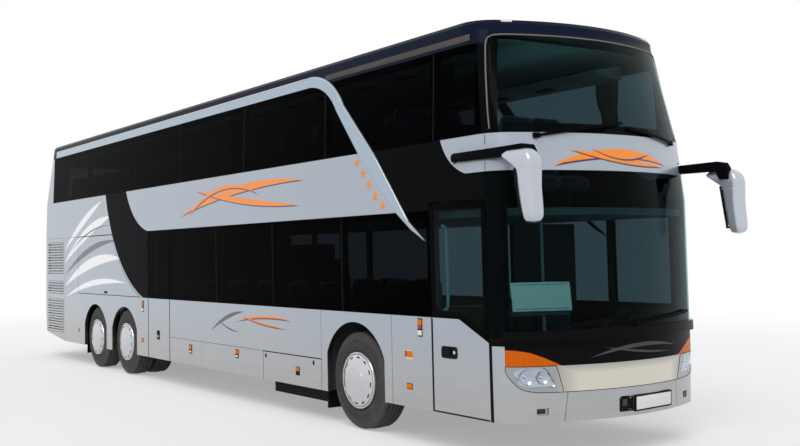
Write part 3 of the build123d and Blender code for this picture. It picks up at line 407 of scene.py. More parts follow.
paintMaterial("mirrorShell", rgb(0.50, 0.53, 0.59), metallic=0.4, flake=0.12, dust=0.0, gloss=0.2, coat=0.6)
paintMaterial("wheelPaint", rgb(0.55, 0.56, 0.57), metallic=0.6, flake=0.1, dust=0.35, gloss=0.3)
paintMaterial("coverPaint", rgb(0.60, 0.61, 0.63), metallic=0.9, flake=0.0, dust=0.12, gloss=0.16, design=coverGroovePaintedShade)
paintMaterial("chassisPaint", rgb(0.02, 0.02, 0.022), dust=0.7, gloss=0.5)
paintMaterial("engineIron", rgb(0.16, 0.165, 0.17), metallic=0.4, dust=0.5, gloss=0.5)
paintMaterial("lampChrome", rgb(0.46, 0.50, 0.56), gloss=0.06, **chrome)
paintMaterial("mirrorFace", rgb(0.86, 0.87, 0.88), gloss=0.0, **chrome)
paintMaterial("vinylOrange", rgb(0.90, 0.26, 0.012), flake=0.04, dust=0.0, gloss=0.3)
paintMaterial("boardWhite", rgb(0.98, 0.86, 0.80), gloss=0.4, **plain)
paintMaterial("plateWhite", rgb(0.80, 0.80, 0.77), flake=0.03, dust=0.2, gloss=0.3)
paintMaterial("railPaint", rgb(0.40, 0.52, 0.54), gloss=0.25, **plain)
paintMaterial("amberLens", rgb(0.72, 0.13, 0.002), coat=0.1, ior=1.12, design=ribbed("Y", 0.006), **lens)
paintMaterial("sideAmber", rgb(0.86, 0.21, 0.004), coat=0.1, ior=1.12, design=ribbed("X", 0.005), **lens)
paintMaterial("redLens", rgb(0.42, 0.012, 0.012), coat=0.5, design=ribbed("Y", 0.006), **lens)
grainMaterial("darkPlastic", rgb(0.006, 0.006, 0.0065), 0.03, ior=1.15)
grainMaterial("edgeRubber", rgb(0.17, 0.155, 0.135), 0.1)
grainMaterial("jointRubber", rgb(0.020, 0.021, 0.025), 0.08, ior=1.2)
grainMaterial("hatchGrey", rgb(0.055, 0.058, 0.065), 0.15)
grainMaterial("cantGrey", rgb(0.078, 0.070, 0.062), 0.1, ior=1.2)
grainMaterial("dashPlastic", rgb(0.03, 0.031, 0.033), 0.05)
grainMaterial("liningPlastic", rgb(0.36, 0.40, 0.38), 0.1)
grainMaterial("floorVinyl", rgb(0.07, 0.073, 0.08), 0.25, scale=160.0)
glassMaterial("tintGlass", rgb(0.075, 0.09, 0.105), 1.04, 0.05)
glassMaterial("screenGlass", rgb(0.27, 0.46, 0.48), 1.09, 0.04)
glassMaterial("lampLens", rgb(0.96, 0.97, 0.98), 1.2, 0.02)
clothMaterial("seatCloth", rgb(0.035, 0.045, 0.09), rgb(0.20, 0.09, 0.05), 420.0)
clothMaterial("headCloth", rgb(0.60, 0.60, 0.58), rgb(0.52, 0.52, 0.50), 600.0)
clothMaterial("curtainCloth", rgb(0.055, 0.035, 0.028), rgb(0.09, 0.055, 0.035), 700.0)
print("materials ready:", len(bpy.data.materials))

nodeFinish = {
    "silverPaint": ["rear_wall", "front_bumper"],
    "lidPaint": ["engine_lid"],
    "flapPaint": ["service_flap_left", "service_flap_right", "front_door", "mid_door"],
    "sidePaint": ["side_panels"],
    "rearPaint": ["rear_quarters", "luggage_flap_left", "luggage_flap_right"],
    "bandPaint": ["front_band"],
    "blackPaint": ["shoulder_panels", "window_frames", "front_pillars", "mirror_arms", "wipers"],
    "nosePaint": ["front_nose"],
    "roofPaint": ["roof"],
    "stripPaint": ["arch_strips"],
    "nosePlate": ["nose_panel", "headlamps"],
    "mirrorShell": ["mirror_heads"],
    "mirrorFace": ["mirror_glass"],
    "darkPlastic": ["under_boxes"],
    "dashPlastic": ["dashboard"],
    "floorVinyl": ["upper_deck", "floor_lower", "stairs"],
    "tintGlass": ["side_glass", "rear_glass", "mid_door_glass"],
    "screenGlass": ["windscreens", "front_door_glass"],
    "amberLens": ["indicators"],
    "redLens": ["tail_lamps"],
    "chassisPaint": ["chassis_rails", "front_axle", "rear_axles", "knuckle_left", "knuckle_right",
                     "front_door_arm", "mid_door_arm"],
    "engineIron": ["engine_block"],
    "wheelPaint": [n for n in cadNodes if n.startswith("rim_")],
    "seatCloth": ["seats_upper", "seats_lower"],
}


def dress(obj, finish):
    obj.data.materials.clear()
    obj.data.materials.append(bpy.data.materials[finish])


for finish, names in nodeFinish.items():
    for name in names:
        dress(cadNodes[name], finish)

# the slot that goes with each finish of the added pieces
slotFinish = {
    "dark_plastic": ["darkPlastic", "blackPaint", "edgeRubber", "jointRubber", "hatchGrey", "cantGrey",
                     "dashPlastic"],
    "bright_panel": ["brightMetal", "lampChrome", "mirrorFace"],
    "lamp_clear": ["plateWhite", "boardWhite", "tintGlass", "lampLens", "nosePlate"],
    "lamp_amber": ["amberLens", "sideAmber", "vinylOrange"],
    "lamp_red": ["redLens"],
    "seat_cloth": ["seatCloth", "headCloth", "curtainCloth"],
    "floor_covering": ["liningPlastic"],
    "frame_steel": ["railPaint"],
    "silver": ["silverPaint"],
    "strip_silver": ["stripPaint"],
    "wheel_silver": ["coverPaint"],
    "tyre": ["tyreRubber"],
    "mirror_shell": ["mirrorShell"],
}
slotOf = {finish: slot for slot, names in slotFinish.items() for finish in names}


# mesh helpers
def finishMesh(obj, finish, body="body", angle=40, slot=None):
    dress(obj, finish)
    bm = bmesh.new()
    bm.from_mesh(obj.data)
    for face in bm.faces:
        face.smooth = True
    for edge in bm.edges:
        edge.smooth = not (len(edge.link_faces) == 2 and edge.calc_face_angle(0) > math.radians(angle))
    bm.to_mesh(obj.data)
    bm.free()
    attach(obj, body)
    slot or slotOf[finish]
    return obj


def linkMesh(name, mesh):
    obj = bpy.data.objects.new(name, mesh)
    scene.collection.objects.link(obj)
    return obj


def addObject(name, verts, faces):
    mesh = bpy.data.meshes.new(name)
    mesh.from_pydata(verts, [], faces)
    mesh.update()
    return linkMesh(name, mesh)


def fromBmesh(name, bm):
    mesh = bpy.data.meshes.new(name)
    bm.to_mesh(mesh)
    bm.free()
    return linkMesh(name, mesh)


def tidyNormals(obj):
    bm = bmesh.new()
    bm.from_mesh(obj.data)
    bmesh.ops.remove_doubles(bm, verts=bm.verts, dist=1e-5)
    bmesh.ops.recalc_face_normals(bm, faces=bm.faces)
    bm.to_mesh(obj.data)
    bm.free()
    return obj


def faceOut(obj, way):
    if sum(p.normal.dot(Vector(way)) * p.area for p in obj.data.polygons) < 0:
        obj.data.flip_normals()


def bakeModifiers(obj):
    deps = bpy.context.evaluated_depsgraph_get()
    mesh = bpy.data.meshes.new_from_object(obj.evaluated_get(deps))
    obj.modifiers.clear()
    old = obj.data
    obj.data = mesh
    mesh.name = obj.name
    bpy.data.meshes.remove(old)


# turn an open skin that faces the given way into a wall
def thicken(obj, way, thick):
    faceOut(obj, way)
    wall = obj.modifiers.new("wall", "SOLIDIFY")
    wall.thickness = thick
    wall.offset = -1
    bakeModifiers(obj)


def joinObjects(objs, name):
    if len(objs) > 1:
        with bpy.context.temp_override(active_object=objs[0], selected_editable_objects=objs, object=objs[0]):
            bpy.ops.object.join()
    objs[0].name = name
    objs[0].data.name = name
    return objs[0]


# skins over rings of equal count, one list of rings for each shell
def loft(name, shells, ends=(True, True), around=False):
    verts, faces = [], []
    for rings in shells:
        base, count, total = len(verts), len(rings[0]), len(rings)
        for ring in rings:
            verts += [tuple(v) for v in ring]
        for i in range(total if around else total - 1):
            low, high = base + i * count, base + (i + 1) % total * count
            for k in range(count):
                m = (k + 1) % count
                faces.append((low + k, low + m, high + m, high + k))
        if ends[0]:
            faces.append(tuple(base + k for k in range(count))[::-1])
        if ends[1]:
            faces.append(tuple(base + (total - 1) * count + k for k in range(count)))
    return tidyNormals(addObject(name, verts, faces))


# a rectangle with round corners about its middle
def roundedRing(halfA, halfB, corner, steps):
    ring = []
    for quarter, (sa, sb) in enumerate(((1, 1), (-1, 1), (-1, -1), (1, -1))):
        for k in range(steps + 1):
            turn = math.pi / 2 * (quarter + k / steps)
            ring.append((sa * (halfA - corner) + corner * math.cos(turn),
                         sb * (halfB - corner) + corner * math.sin(turn)))
    return ring


def catmull(points, per, closed=False):
    pts = [Vector(p) for p in points]
    count = len(pts)
    rows = []
    for i in range(count if closed else count - 1):
        pick = [(i + k) % count if closed else min(max(i + k, 0), count - 1) for k in (-1, 0, 1, 2)]
        a, b, c, d = (pts[n] for n in pick)
        for k in range(per):
            t = k / per
            rows.append(0.5 * (2 * b + (c - a) * t + (2 * a - 5 * b + 4 * c - d) * t * t
                               + (3 * b - a - 3 * c + d) * t ** 3))
    return rows if closed else rows + [pts[-1]]


def tubes(name, paths, radius, sides, closed=False):
    shells = []
    for path in paths:
        rings, count, aside = [], len(path), None
        for i, p in enumerate(path):
            ahead = path[(i + 1) % count] if closed or i + 1 < count else p
            behind = path[i - 1] if closed or i else p
            run = (ahead - behind).normalized()
            if aside is None:
                aside = run.cross(Vector((0, 0, 1)) if abs(run.z) < 0.9 else Vector((1, 0, 0)))
            aside = (aside - run * aside.dot(run)).normalized()
            over = aside.cross(run)
            turns = [2 * math.pi * k / sides for k in range(sides)]
            rings.append([p + radius * (math.cos(a) * aside + math.sin(a) * over) for a in turns])
        shells.append(rings)
    return loft(name, shells, (not closed, not closed), closed)


def boxes(name, rows, bevel):
    bm = bmesh.new()
    for x0, x1, y0, y1, z0, z1 in rows:
        for v in bmesh.ops.create_cube(bm, size=1.0)["verts"]:
            v.co = Vector((x0 if v.co.x < 0 else x1, y0 if v.co.y < 0 else y1, z0 if v.co.z < 0 else z1))
    bmesh.ops.bevel(bm, geom=list(bm.edges), offset=bevel, segments=2, affect="EDGES", profile=0.5)
    return fromBmesh(name, bm)


# boxes on the flat sides: middle X, middle Z, width, height, inner and outer Y
def sideRows(x, z, wide, high, inner, outer, sides=(-1, 1)):
    return [(x - wide / 2, x + wide / 2, min(s * inner, s * outer), max(s * inner, s * outer),
             z - high / 2, z + high / 2) for s in sides]


# bevelled slabs: middle, run across, run up, width, height, thickness
def slabs(name, rows, bevel, segments=2):
    bm = bmesh.new()
    for middle, across, up, wide, high, thick in rows:
        u, v = Vector(across).normalized(), Vector(up).normalized()
        w = u.cross(v).normalized()
        for vert in bmesh.ops.create_cube(bm, size=1.0)["verts"]:
            a, b, c = vert.co
            vert.co = Vector(middle) + u * a * wide + v * b * high + w * c * thick
    bmesh.ops.recalc_face_normals(bm, faces=bm.faces)
    bmesh.ops.bevel(bm, geom=list(bm.edges), offset=bevel, segments=segments, affect="EDGES", profile=0.5)
    return fromBmesh(name, bm)


# plates with round corners on a side: middle X, middle Z, width, height, corner, inner and outer Y
def plates(name, rows):
    shells = []
    for x, z, wide, high, corner, inner, outer in rows:
        ring = roundedRing(wide / 2, high / 2, corner, 6)
        shells.append([[(x + u, y, z + v) for u, v in ring] for y in (inner, outer)])
    return loft(name, shells)


def prism(name, section, x0, x1, sides=(-1, 1)):
    return loft(name, [[[(x, side * y, z) for y, z in section] for x in (x0, x1)] for side in sides])


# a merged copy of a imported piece, its sharp edges rounded where a bevel is given
def softCopy(name, source, bevel):
    bm = bmesh.new()
    bm.from_mesh(cadNodes[source].data)
    bmesh.ops.remove_doubles(bm, verts=bm.verts, dist=1e-5)
    bmesh.ops.dissolve_limit(bm, angle_limit=math.radians(1.0), verts=bm.verts, edges=bm.edges)
    if bevel:
        sharp = [e for e in bm.edges if len(e.link_faces) == 2 and e.calc_face_angle(0) > math.radians(30)]
        bmesh.ops.bevel(bm, geom=sharp, offset=bevel, segments=3, affect="EDGES", profile=0.5, clamp_overlap=True)
    return fromBmesh(name, bm)


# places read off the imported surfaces
def surfaceOf(*names):
    verts, faces = [], []
    for name in names:
        mesh = cadNodes[name].data
        base = len(verts)
        verts += [v.co.copy() for v in mesh.vertices]
        faces += [[base + i for i in p.vertices] for p in mesh.polygons]
    return BVHTree.FromPolygons(verts, faces)


def sideY(skin, side, x, z):
    place = skin.ray_cast(Vector((x, side * 3.0, z)), Vector((0, -side, 0)))[0]
    return place.y if place else side * halfWidth


def frontX(skin, y, z):
    place = skin.ray_cast(Vector((9.0, y, z)), Vector((-1, 0, 0)))[0]
    return place.x if place else None


def rearX(skin, y, z):
    place = skin.ray_cast(Vector((-9.0, y, z)), Vector((1, 0, 0)))[0]
    return place.x if place else tailX


def roofZ(skin, x, y):
    return skin.ray_cast(Vector((x, y, 5.0)), Vector((0, 0, -1)))[0].z


# a form set out on points by a node tree
def scatterTree(name):
    tree = bpy.data.node_groups.new(name, "GeometryNodeTree")
    for label, kind in (("Geometry", "Geometry"), ("Shape", "Object"), ("Finish", "Material"), ("Size", "Float")):
        tree.interface.new_socket(name=label, in_out="INPUT", socket_type="NodeSocket" + kind)
    tree.interface.new_socket(name="Geometry", in_out="OUTPUT", socket_type="NodeSocketGeometry")
    start, end, points, shape, place, real, paint = (tree.nodes.new(kind) for kind in (
        "NodeGroupInput", "NodeGroupOutput", "GeometryNodeMeshToPoints", "GeometryNodeObjectInfo",
        "GeometryNodeInstanceOnPoints", "GeometryNodeRealizeInstances", "GeometryNodeSetMaterial"))
    link = tree.links.new
    link(start.outputs["Geometry"], points.inputs["Mesh"])
    link(start.outputs["Shape"], shape.inputs["Object"])
    link(points.outputs[0], place.inputs["Points"])
    link(shape.outputs["Geometry"], place.inputs["Instance"])
    link(start.outputs["Size"], place.inputs["Scale"])
    link(place.outputs[0], real.inputs[0])
    link(real.outputs[0], paint.inputs["Geometry"])
    link(start.outputs["Finish"], paint.inputs["Material"])
    link(paint.outputs[0], end.inputs[0])
    return tree


rowTree = scatterTree("setOutInRows")


def setOut(name, spots, shape, finish, angle=40):
    obj = addObject(name, spots, [])
    mod = obj.modifiers.new("rows", "NODES")
    mod.node_group = rowTree
    ids = {s.name: s.identifier for s in rowTree.interface.items_tree if s.in_out == "INPUT"}
    mod[ids["Shape"]] = shape
    mod[ids["Finish"]] = bpy.data.materials[finish]
    mod[ids["Size"]] = 1.0
    bakeModifiers(obj)
    return finishMesh(obj, finish, angle=angle)


# a ring of profile points turned round the axle; points are (out from the middle, radius)
def spinProfile(name, profile, axleX, side, steps, closed=True, skip=None):
    verts, faces, uvs = [], [], []
    count = len(profile)
    for s in range(steps):
        a = 2 * math.pi * s / steps
        for out, r in profile:
            verts.append((axleX + r * math.sin(a), side * out, wheelRadius + r * math.cos(a)))
    spans = count if closed else count - 1
    for s in range(steps):
        t = (s + 1) % steps
        for p in range(spans):
            if skip and skip(s, p):
                continue
            q = (p + 1) % count
            faces.append((s * count + p, s * count + q, t * count + q, t * count + p))
            uvs.append([(s, p), (s, p + 1), (s + 1, p + 1), (s + 1, p)])
    obj = addObject(name, verts, faces)
    layer = obj.data.uv_layers.new(name="turn")
    for poly, corners in zip(obj.data.polygons, uvs):
        for loop, (u, v) in zip(poly.loop_indices, corners):
            layer.data[loop].uv = (u / steps, v / spans)
    return tidyNormals(obj)


# tyres with sidewall rings, shoulder and grooved tread; edge points are (in from the sidewall, radius)
tyreSettings = {
    "halfWidth": 0.149, "steps": 96, "twinStep": 0.330,
    "edge": [(0.022, 0.286), (0.014, 0.302), (0.010, 0.316), (0.004, 0.320), (0.002, 0.334), (0.003, 0.356),
             (0.0, 0.360), (0.0, 0.372), (0.003, 0.376), (0.003, 0.420), (0.001, 0.424), (0.002, 0.434),
             (0.006, 0.438), (0.010, 0.470), (0.016, 0.492), (0.024, 0.506), (0.036, 0.5145)],
    "grooves": (-0.078, -0.026, 0.026, 0.078), "grooveWide": 0.013, "grooveDeep": 0.011, "lip": 0.002,
    "crown": 0.5205, "crownFall": 1.1, "sipes": 74.0, "sipeShare": 0.16, "treadFrom": 0.22, "treadTo": 0.78}


def tyreProfile(cfg):
    edge = [(cfg["halfWidth"] - inset, r) for inset, r in cfg["edge"]]
    w, lip = cfg["grooveWide"] / 2, cfg["lip"]
    tread = []
    for centre in cfg["grooves"]:
        crown = cfg["crown"] - cfg["crownFall"] * centre ** 2
        half = [(w * 0.6, crown - cfg["grooveDeep"]), (w, crown - lip), (w + lip, crown)]
        tread += [(centre - y, r) for y, r in half[::-1]] + [(centre + y, r) for y, r in half]
    return [(-y, r) for y, r in edge] + tread + edge[::-1]


def rubberMaterial(cfg):
    tree, shader = startMaterial("tyreRubber")
    grain = fromGroup(tree, grainGroup, {"Colour": rgb(0.022, 0.021, 0.020), "Scale": 260.0, "Scuff": 0.15})
    around = axes(tree, "UV")
    skew = around["X"] * cfg["sipes"] + around["Y"].calc("PINGPONG", 0.05) * 8.0
    cut = skew.calc("FRACT").calc("LESS_THAN", cfg["sipeShare"])
    onTread = around["Y"].calc("GREATER_THAN", cfg["treadFrom"]) * around["Y"].calc("LESS_THAN", cfg["treadTo"])
    sipe = cut * onTread
    dust = (onTread * 0.35).blend(grain["Colour"], rgb(0.10, 0.095, 0.085))
    # the sipe cuts are painted near-black as painted shade in the slits, and are also cut into the relief
    setInputs(tree, shader, {
        "Base Color": (sipe * 0.8).blend(dust, rgb(0.004, 0.004, 0.004)),
        "Roughness": grain["Roughness"] + 0.15, "Normal": relief(grain["Height"] * 0.15 - sipe, 0.8, 0.006)})


def buildTyres(cfg):
    rubberMaterial(cfg)
    profile = tyreProfile(cfg)
    for axle, x in axleRows.items():
        for side, word in sideWords[::-1]:
            wheel = "%s_%s" % (axle, word)
            rows = [wheelY, wheelY - cfg["twinStep"]] if axle == "drive" else [wheelY]
            parts = [spinProfile("tyre_%s_%d" % (wheel, n), [(centre + y, r) for y, r in profile], x, side,
                                 cfg["steps"]) for n, centre in enumerate(rows)]
            tyre = joinObjects(parts, "roadTyre_" + wheel)
            finishMesh(tyre, "tyreRubber", "wheel_" + wheel, 50)
            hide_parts("tyre_" + wheel)


buildTyres(tyreSettings)
print("tyres ready")


# domed wheel covers with a ring of slots; profile points are (out from the sidewall, radius)
coverSettings = {
    "base": 0.149, "steps": 120, "slots": 12, "slotSteps": 4, "slotRow": 5, "thick": 0.003,
    "profile": [(0.004, 0.302), (0.012, 0.298), (0.014, 0.288), (0.009, 0.280), (0.012, 0.268), (0.019, 0.255),
                (0.022, 0.238), (0.026, 0.222), (0.031, 0.19), (0.036, 0.14), (0.037, 0.126), (0.041, 0.122),
                (0.044, 0.08), (0.045, 0.035), (0.045, 0.0008)]}


def buildWheelCovers(cfg):
    pitch = cfg["steps"] // cfg["slots"]
    profile = [(wheelY + cfg["base"] + out, r) for out, r in cfg["profile"]]
    for axle, x in axleRows.items():
        for side, word in sideWords[::-1]:
            wheel = "%s_%s" % (axle, word)
            cover = spinProfile("wheelCover_" + wheel, profile, x, side, cfg["steps"], closed=False,
                                skip=lambda s, p: p == cfg["slotRow"] and s % pitch < cfg["slotSteps"])
            thicken(cover, (0, side, 0), cfg["thick"])
            finishMesh(cover, "coverPaint", "wheel_" + wheel, 35)


buildWheelCovers(coverSettings)
print("wheel covers ready")


# seats: a crowned cushion, a leaning back and a pale head cover, set out in rows by a node tree
# forms are size, cuts, crown, pinch, place, lean
seatSettings = {
    "upper": {"first": 5.29, "pitch": 0.79, "count": 14, "floor": 2.2621, "stair": (-0.351, 1.849)},
    "lower": {"first": 3.05, "pitch": 0.80, "count": 5, "floor": 0.404, "stair": (-7.0, 1.849)},
    "outer": 1.17, "bench": 0.87, "cab": (5.64, 0.69), "legBevel": 0.008,
    "pad": ((0.42, 0.42, 0.14), 5, 0.22, 0.035, (-0.20, 0, 0.355), 0.0),
    "back": ((0.74, 0.42, 0.11), 5, 0.30, 0.03, (-0.505, 0, 0.755), -81.5),
    "cover": ((0.22, 0.34, 0.135), 3, 0.12, 0.02, (-0.533, 0, 1.02), -81.5),
    "legs": [(-0.36, -0.14, -0.05, 0.05, 0.002, 0.285), (-0.44, -0.02, -0.205, 0.205, 0.27, 0.30),
             (-0.40, -0.06, -0.215, -0.195, 0.42, 0.46), (-0.45, -0.42, -0.215, -0.195, 0.30, 0.46)]}


# no seats on the left where the stairs are
def seatSpots(cfg, deck):
    row = cfg[deck]
    inset, step = cfg["bench"] / 4, cfg["bench"] / 2
    spots = []
    for n in range(row["count"]):
        x = row["first"] - n * row["pitch"]
        for side in (-1, 1):
            if side < 0 or not row["stair"][0] < x < row["stair"][1]:
                spots += [(x, side * (cfg["outer"] - inset - k * step), row["floor"]) for k in (0, 1)]
    return spots + ([(*cfg["cab"], row["floor"])] if deck == "lower" else [])


def cushionForm(name, size, cuts, crown, pinch, place, lean):
    bm = bmesh.new()
    bmesh.ops.create_cube(bm, size=1.0)
    bmesh.ops.subdivide_edges(bm, edges=bm.edges, cuts=cuts, use_grid_fill=True)
    for v in bm.verts:
        a, b, c = 2 * v.co
        p, q, r = (abs(t) ** 6 for t in (a, b, c))
        roundOff = 1 - 0.10 * (p * q + q * r + p * r)
        swell = 1 + crown * (1 - a * a) * (1 - b * b)
        draw = 1 - pinch * (1 - a * a) * abs(b) ** 4 - pinch * (1 - b * b) * abs(a) ** 4
        channel = 1 - 0.05 * math.exp(-((abs(b) - 0.55) / 0.05) ** 2)
        v.co = Vector((a * draw * size[0], b * draw * size[1], c * swell * channel * size[2])) * roundOff / 2
    form = fromBmesh(name, bm)
    form.data.transform(Matrix.Translation(place) @ Matrix.Rotation(math.radians(lean), 4, "Y"))
    return form


def buildSeats(cfg):
    cushion = cushionForm("seatPadForm", *cfg["pad"])
    pad = joinObjects([cushion, cushionForm("seatBackForm", *cfg["back"])], "seatForm")
    cover = cushionForm("headCoverForm", *cfg["cover"])
    legs = boxes("seatLegForm", cfg["legs"], cfg["legBevel"])
    for deck in ("upper", "lower"):
        spots = seatSpots(cfg, deck)
        pads = setOut("seatPads_" + deck, spots, pad, "seatCloth", 80)
        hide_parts("seats_" + deck)
        covers = setOut("headCovers_" + deck, spots, cover, "headCloth", 80)
        setOut("seatStands_" + deck, spots, legs, "dashPlastic", 30)
    for form in (pad, cover, legs):
        bpy.data.objects.remove(form)


buildSeats(seatSettings)
print("seats ready")


# mirror heads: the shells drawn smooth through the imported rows, with a dark rim round each glass
# sides are (side, lift, out), rows are (height, X, depth, width, corner), ends are (height, shrink)
mirrorSettings = {
    "headX": 6.95, "brow": 2.60, "sides": [(1, -0.05, 1.360), (-1, 0.055, 1.345)], "steps": 10,
    "groove": -0.088, "grooveSize": 0.004, "rimTube": 0.011, "rimBack": 0.003, "armBevel": 0.016,
    "rows": [(-0.530, 0.0, 0.096, 0.110, 0.034), (-0.470, -0.020, 0.140, 0.160, 0.046),
             (-0.250, -0.055, 0.160, 0.176, 0.052), (-0.090, -0.081, 0.190, 0.180, 0.052),
             (-0.010, -0.180, 0.285, 0.176, 0.048), (0.045, -0.262, 0.340, 0.156, 0.042),
             (0.078, -0.240, 0.285, 0.112, 0.034)],
    "foot": [(-0.012, 0.043), (-0.008, 0.024), (-0.002, 0.010)],
    "head": [(0.008, 0.012), (0.013, 0.026), (0.015, 0.044)],
    "rim": [(-0.066, -0.475), (0.066, -0.475), (0.074, -0.45), (0.074, -0.10), (0.062, -0.085), (-0.062, -0.085),
            (-0.074, -0.10), (-0.074, -0.45)]}


def buildMirrors(cfg):
    levels = catmull(cfg["rows"], cfg["steps"])
    size = cfg["grooveSize"]
    grooveDepth = lambda row: size * math.exp(-((row[0] - cfg["groove"]) / size) ** 2)
    steps = [(levels[0], rise, shrink) for rise, shrink in cfg["foot"]]
    steps += [(row, 0.0, grooveDepth(row)) for row in levels]
    steps += [(levels[-1], rise, shrink) for rise, shrink in cfg["head"]]
    shells, rims = [], []
    for side, lift, out in cfg["sides"]:
        rings = []
        for (z, x, deep, wide, corner), rise, shrink in steps:
            a, b = deep / 2 - shrink, wide / 2 - shrink
            ring = roundedRing(a, b, min(corner, a * 0.95, b * 0.95), 8)
            rings.append([(cfg["headX"] + x + deep / 2 + u, side * out + v, cfg["brow"] + lift + z + rise)
                          for u, v in ring])
        shells.append(rings)
        loop = []
        for y, over in cfg["rim"]:
            rear = min(levels, key=lambda row: abs(row[0] - over))[1]
            loop.append((cfg["headX"] + rear - cfg["rimBack"], side * out + y, cfg["brow"] + lift + over))
        rims.append(catmull(loop, 5, True))
    heads = finishMesh(loft("mirrorShells", shells), "mirrorShell", angle=50)
    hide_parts("mirror_heads")
    finishMesh(tubes("mirrorRims", rims, cfg["rimTube"], 8, True), "darkPlastic", angle=60)
    arms = finishMesh(softCopy("mirrorArms", "mirror_arms", cfg["armBevel"]), "blackPaint", angle=45)
    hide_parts("mirror_arms")


buildMirrors(mirrorSettings)
print("mirrors ready")


# headlamps: a window cut in the bright housing, stepped bowls behind a clear cover
lampSettings = {
    "outline": [(-1.168, 0.836), (-1.05, 0.842), (-0.922, 0.834), (-0.872, 0.765), (-0.832, 0.676),
                (-0.965, 0.662), (-1.102, 0.674), (-1.158, 0.735), (-1.180, 0.800)],
    "bowls": [(-1.068, 0.758, 0.070), (-0.930, 0.752, 0.062)], "deep": 0.050, "shelf": 0.020, "bulb": 0.026,
    "bulbShare": 0.24, "bowlRings": 36, "coverRings": 8, "per": 10, "thick": 0.002, "cut": (6.2, 7.0)}


# how deep a spot of the reflector lies behind the skin
def bowlDepth(cfg, spot, share):
    wall = min(1.0, (1 - share) / 0.05)
    sink = 0.003 + cfg["shelf"] * wall * (0.75 + 0.25 * math.cos(70 * spot.y))
    for y, z, radius in cfg["bowls"]:
        d = math.hypot(spot.x - y, spot.y - z) / radius
        if d < 1:
            sink = max(sink, cfg["shelf"] + (cfg["deep"] - cfg["shelf"]) * (1 - d * d))
        if d < cfg["bulbShare"]:
            sink -= cfg["bulb"] * (1 - (d / cfg["bulbShare"]) ** 2)
    return sink


def buildHeadlamps(cfg):
    skin = surfaceOf("headlamps", "indicators", "nose_panel", "front_bumper")
    edge = catmull(cfg["outline"], cfg["per"], True)
    middle = sum(edge, Vector((0, 0))) / len(edge)
    for name, count, finish in (("lampBowls", cfg["bowlRings"], "lampChrome"),
                                ("lampCovers", cfg["coverRings"], "lampLens")):
        shells = []
        for side in (-1, 1):
            rings = []
            for r in range(count + 1):
                share = 1 - r / count * 0.97
                ring = []
                for spot in (middle + (p - middle) * share for p in edge):
                    sink = bowlDepth(cfg, spot, share) if name == "lampBowls" else -0.001
                    y, z = -side * spot.x, spot.y
                    ring.append((frontX(skin, y, z) - sink, y, z))
                rings.append(ring)
            shells.append(rings)
        piece = loft(name, shells, (False, True))
        thicken(piece, (1, 0, 0), cfg["thick"])
        finishMesh(piece, finish, angle=30)
    tool = loft("lampCutter", [[[(x, -side * p.x, p.y) for p in edge] for x in cfg["cut"]] for side in (-1, 1)])
    housing = softCopy("lampHousings", "headlamps", 0.0)
    window = housing.modifiers.new("window", "BOOLEAN")
    window.operation, window.solver, window.object = "DIFFERENCE", "EXACT", tool
    bakeModifiers(housing)
    bpy.data.objects.remove(tool)
    finishMesh(housing, "nosePlate", angle=30)
    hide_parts("headlamps")


buildHeadlamps(lampSettings)
print("headlamps ready")


# five stars beside the strip, set out by the row tree
starSettings = {"spots": [(4.257, 2.854), (4.366, 2.721), (4.474, 2.596), (4.584, 2.470), (4.714, 2.367)],
                "outer": 0.062, "inner": 0.025, "proud": 0.0016, "peak": 1.6}


def buildStars(cfg):
    rim = []
    for k in range(10):
        r, a = cfg["inner"] if k % 2 else cfg["outer"], math.pi * k / 5
        rim.append((r * math.sin(a), r * math.cos(a)))
    d = cfg["proud"]
    verts = [(x, y, z) for y in (-d, d) for x, z in rim] + [(0, -cfg["peak"] * d, 0), (0, cfg["peak"] * d, 0)]
    faces = []
    for k in range(10):
        m = (k + 1) % 10
        faces += [(k, m, 10 + m, 10 + k), (20, m, k), (21, 10 + k, 10 + m)]
    form = tidyNormals(addObject("starForm", verts, faces))
    spots = [(x, side * halfWidth, z) for x, z in cfg["spots"] for side in (-1, 1)]
    setOut("beltStars", spots, form, "vinylOrange", 20)
    bpy.data.objects.remove(form)


buildStars(starSettings)


# lamps, reflectors and locks along the sides: middle X, middle Z, width, height
sideSettings = {
    "marker": [(5.119, 0.875, 0.115, 0.062)],
    "reflector": [(5.114, 0.557, 0.088, 0.048), (-1.790, 0.596, 0.075, 0.050), (-4.760, 0.596, 0.075, 0.045),
                  (-6.177, 0.586, 0.075, 0.045)],
    "tall": [(5.302, 1.145, 0.062, 0.165), (-1.777, 1.118, 0.062, 0.160)],
    "skirt": [(-0.025, 0.576, 0.095, 0.125), (1.396, 0.613, 0.09, 0.11)],
    "flapLamp": (2.938, 0.522, 0.085, 0.10), "flapLocks": (2.171, 3.294), "latch": (-3.40, 1.30),
    "back": 1.268, "seat": 1.270}

# door fittings on the right: name, body, finish, bevel, rows of middle X, middle Z, width, height, inner, outer
doorFittings = [
    ("frontDoorSeal", "front_door", "darkPlastic", 0.002,
     [(5.4985, 0.80, 0.017, 0.885, 1.270, 1.2772), (5.90, 0.364, 0.80, 0.015, 1.270, 1.2772)]),
    ("midDoorSeal", "mid_door", "darkPlastic", 0.002,
     [(-1.5485, 0.80, 0.010, 0.885, 1.270, 1.2768), (-0.7515, 0.80, 0.010, 0.885, 1.270, 1.2768)]),
    ("midDoorHandle", "mid_door", "darkPlastic", 0.006,
     [(-1.166, 0.709, 0.105, 0.135, 1.268, 1.280), (-1.166, 0.745, 0.06, 0.025, 1.270, 1.287)]),
    ("midDoorLock", "mid_door", "brightMetal", 0.006, [(-1.166, 0.690, 0.035, 0.035, 1.270, 1.2835)])]

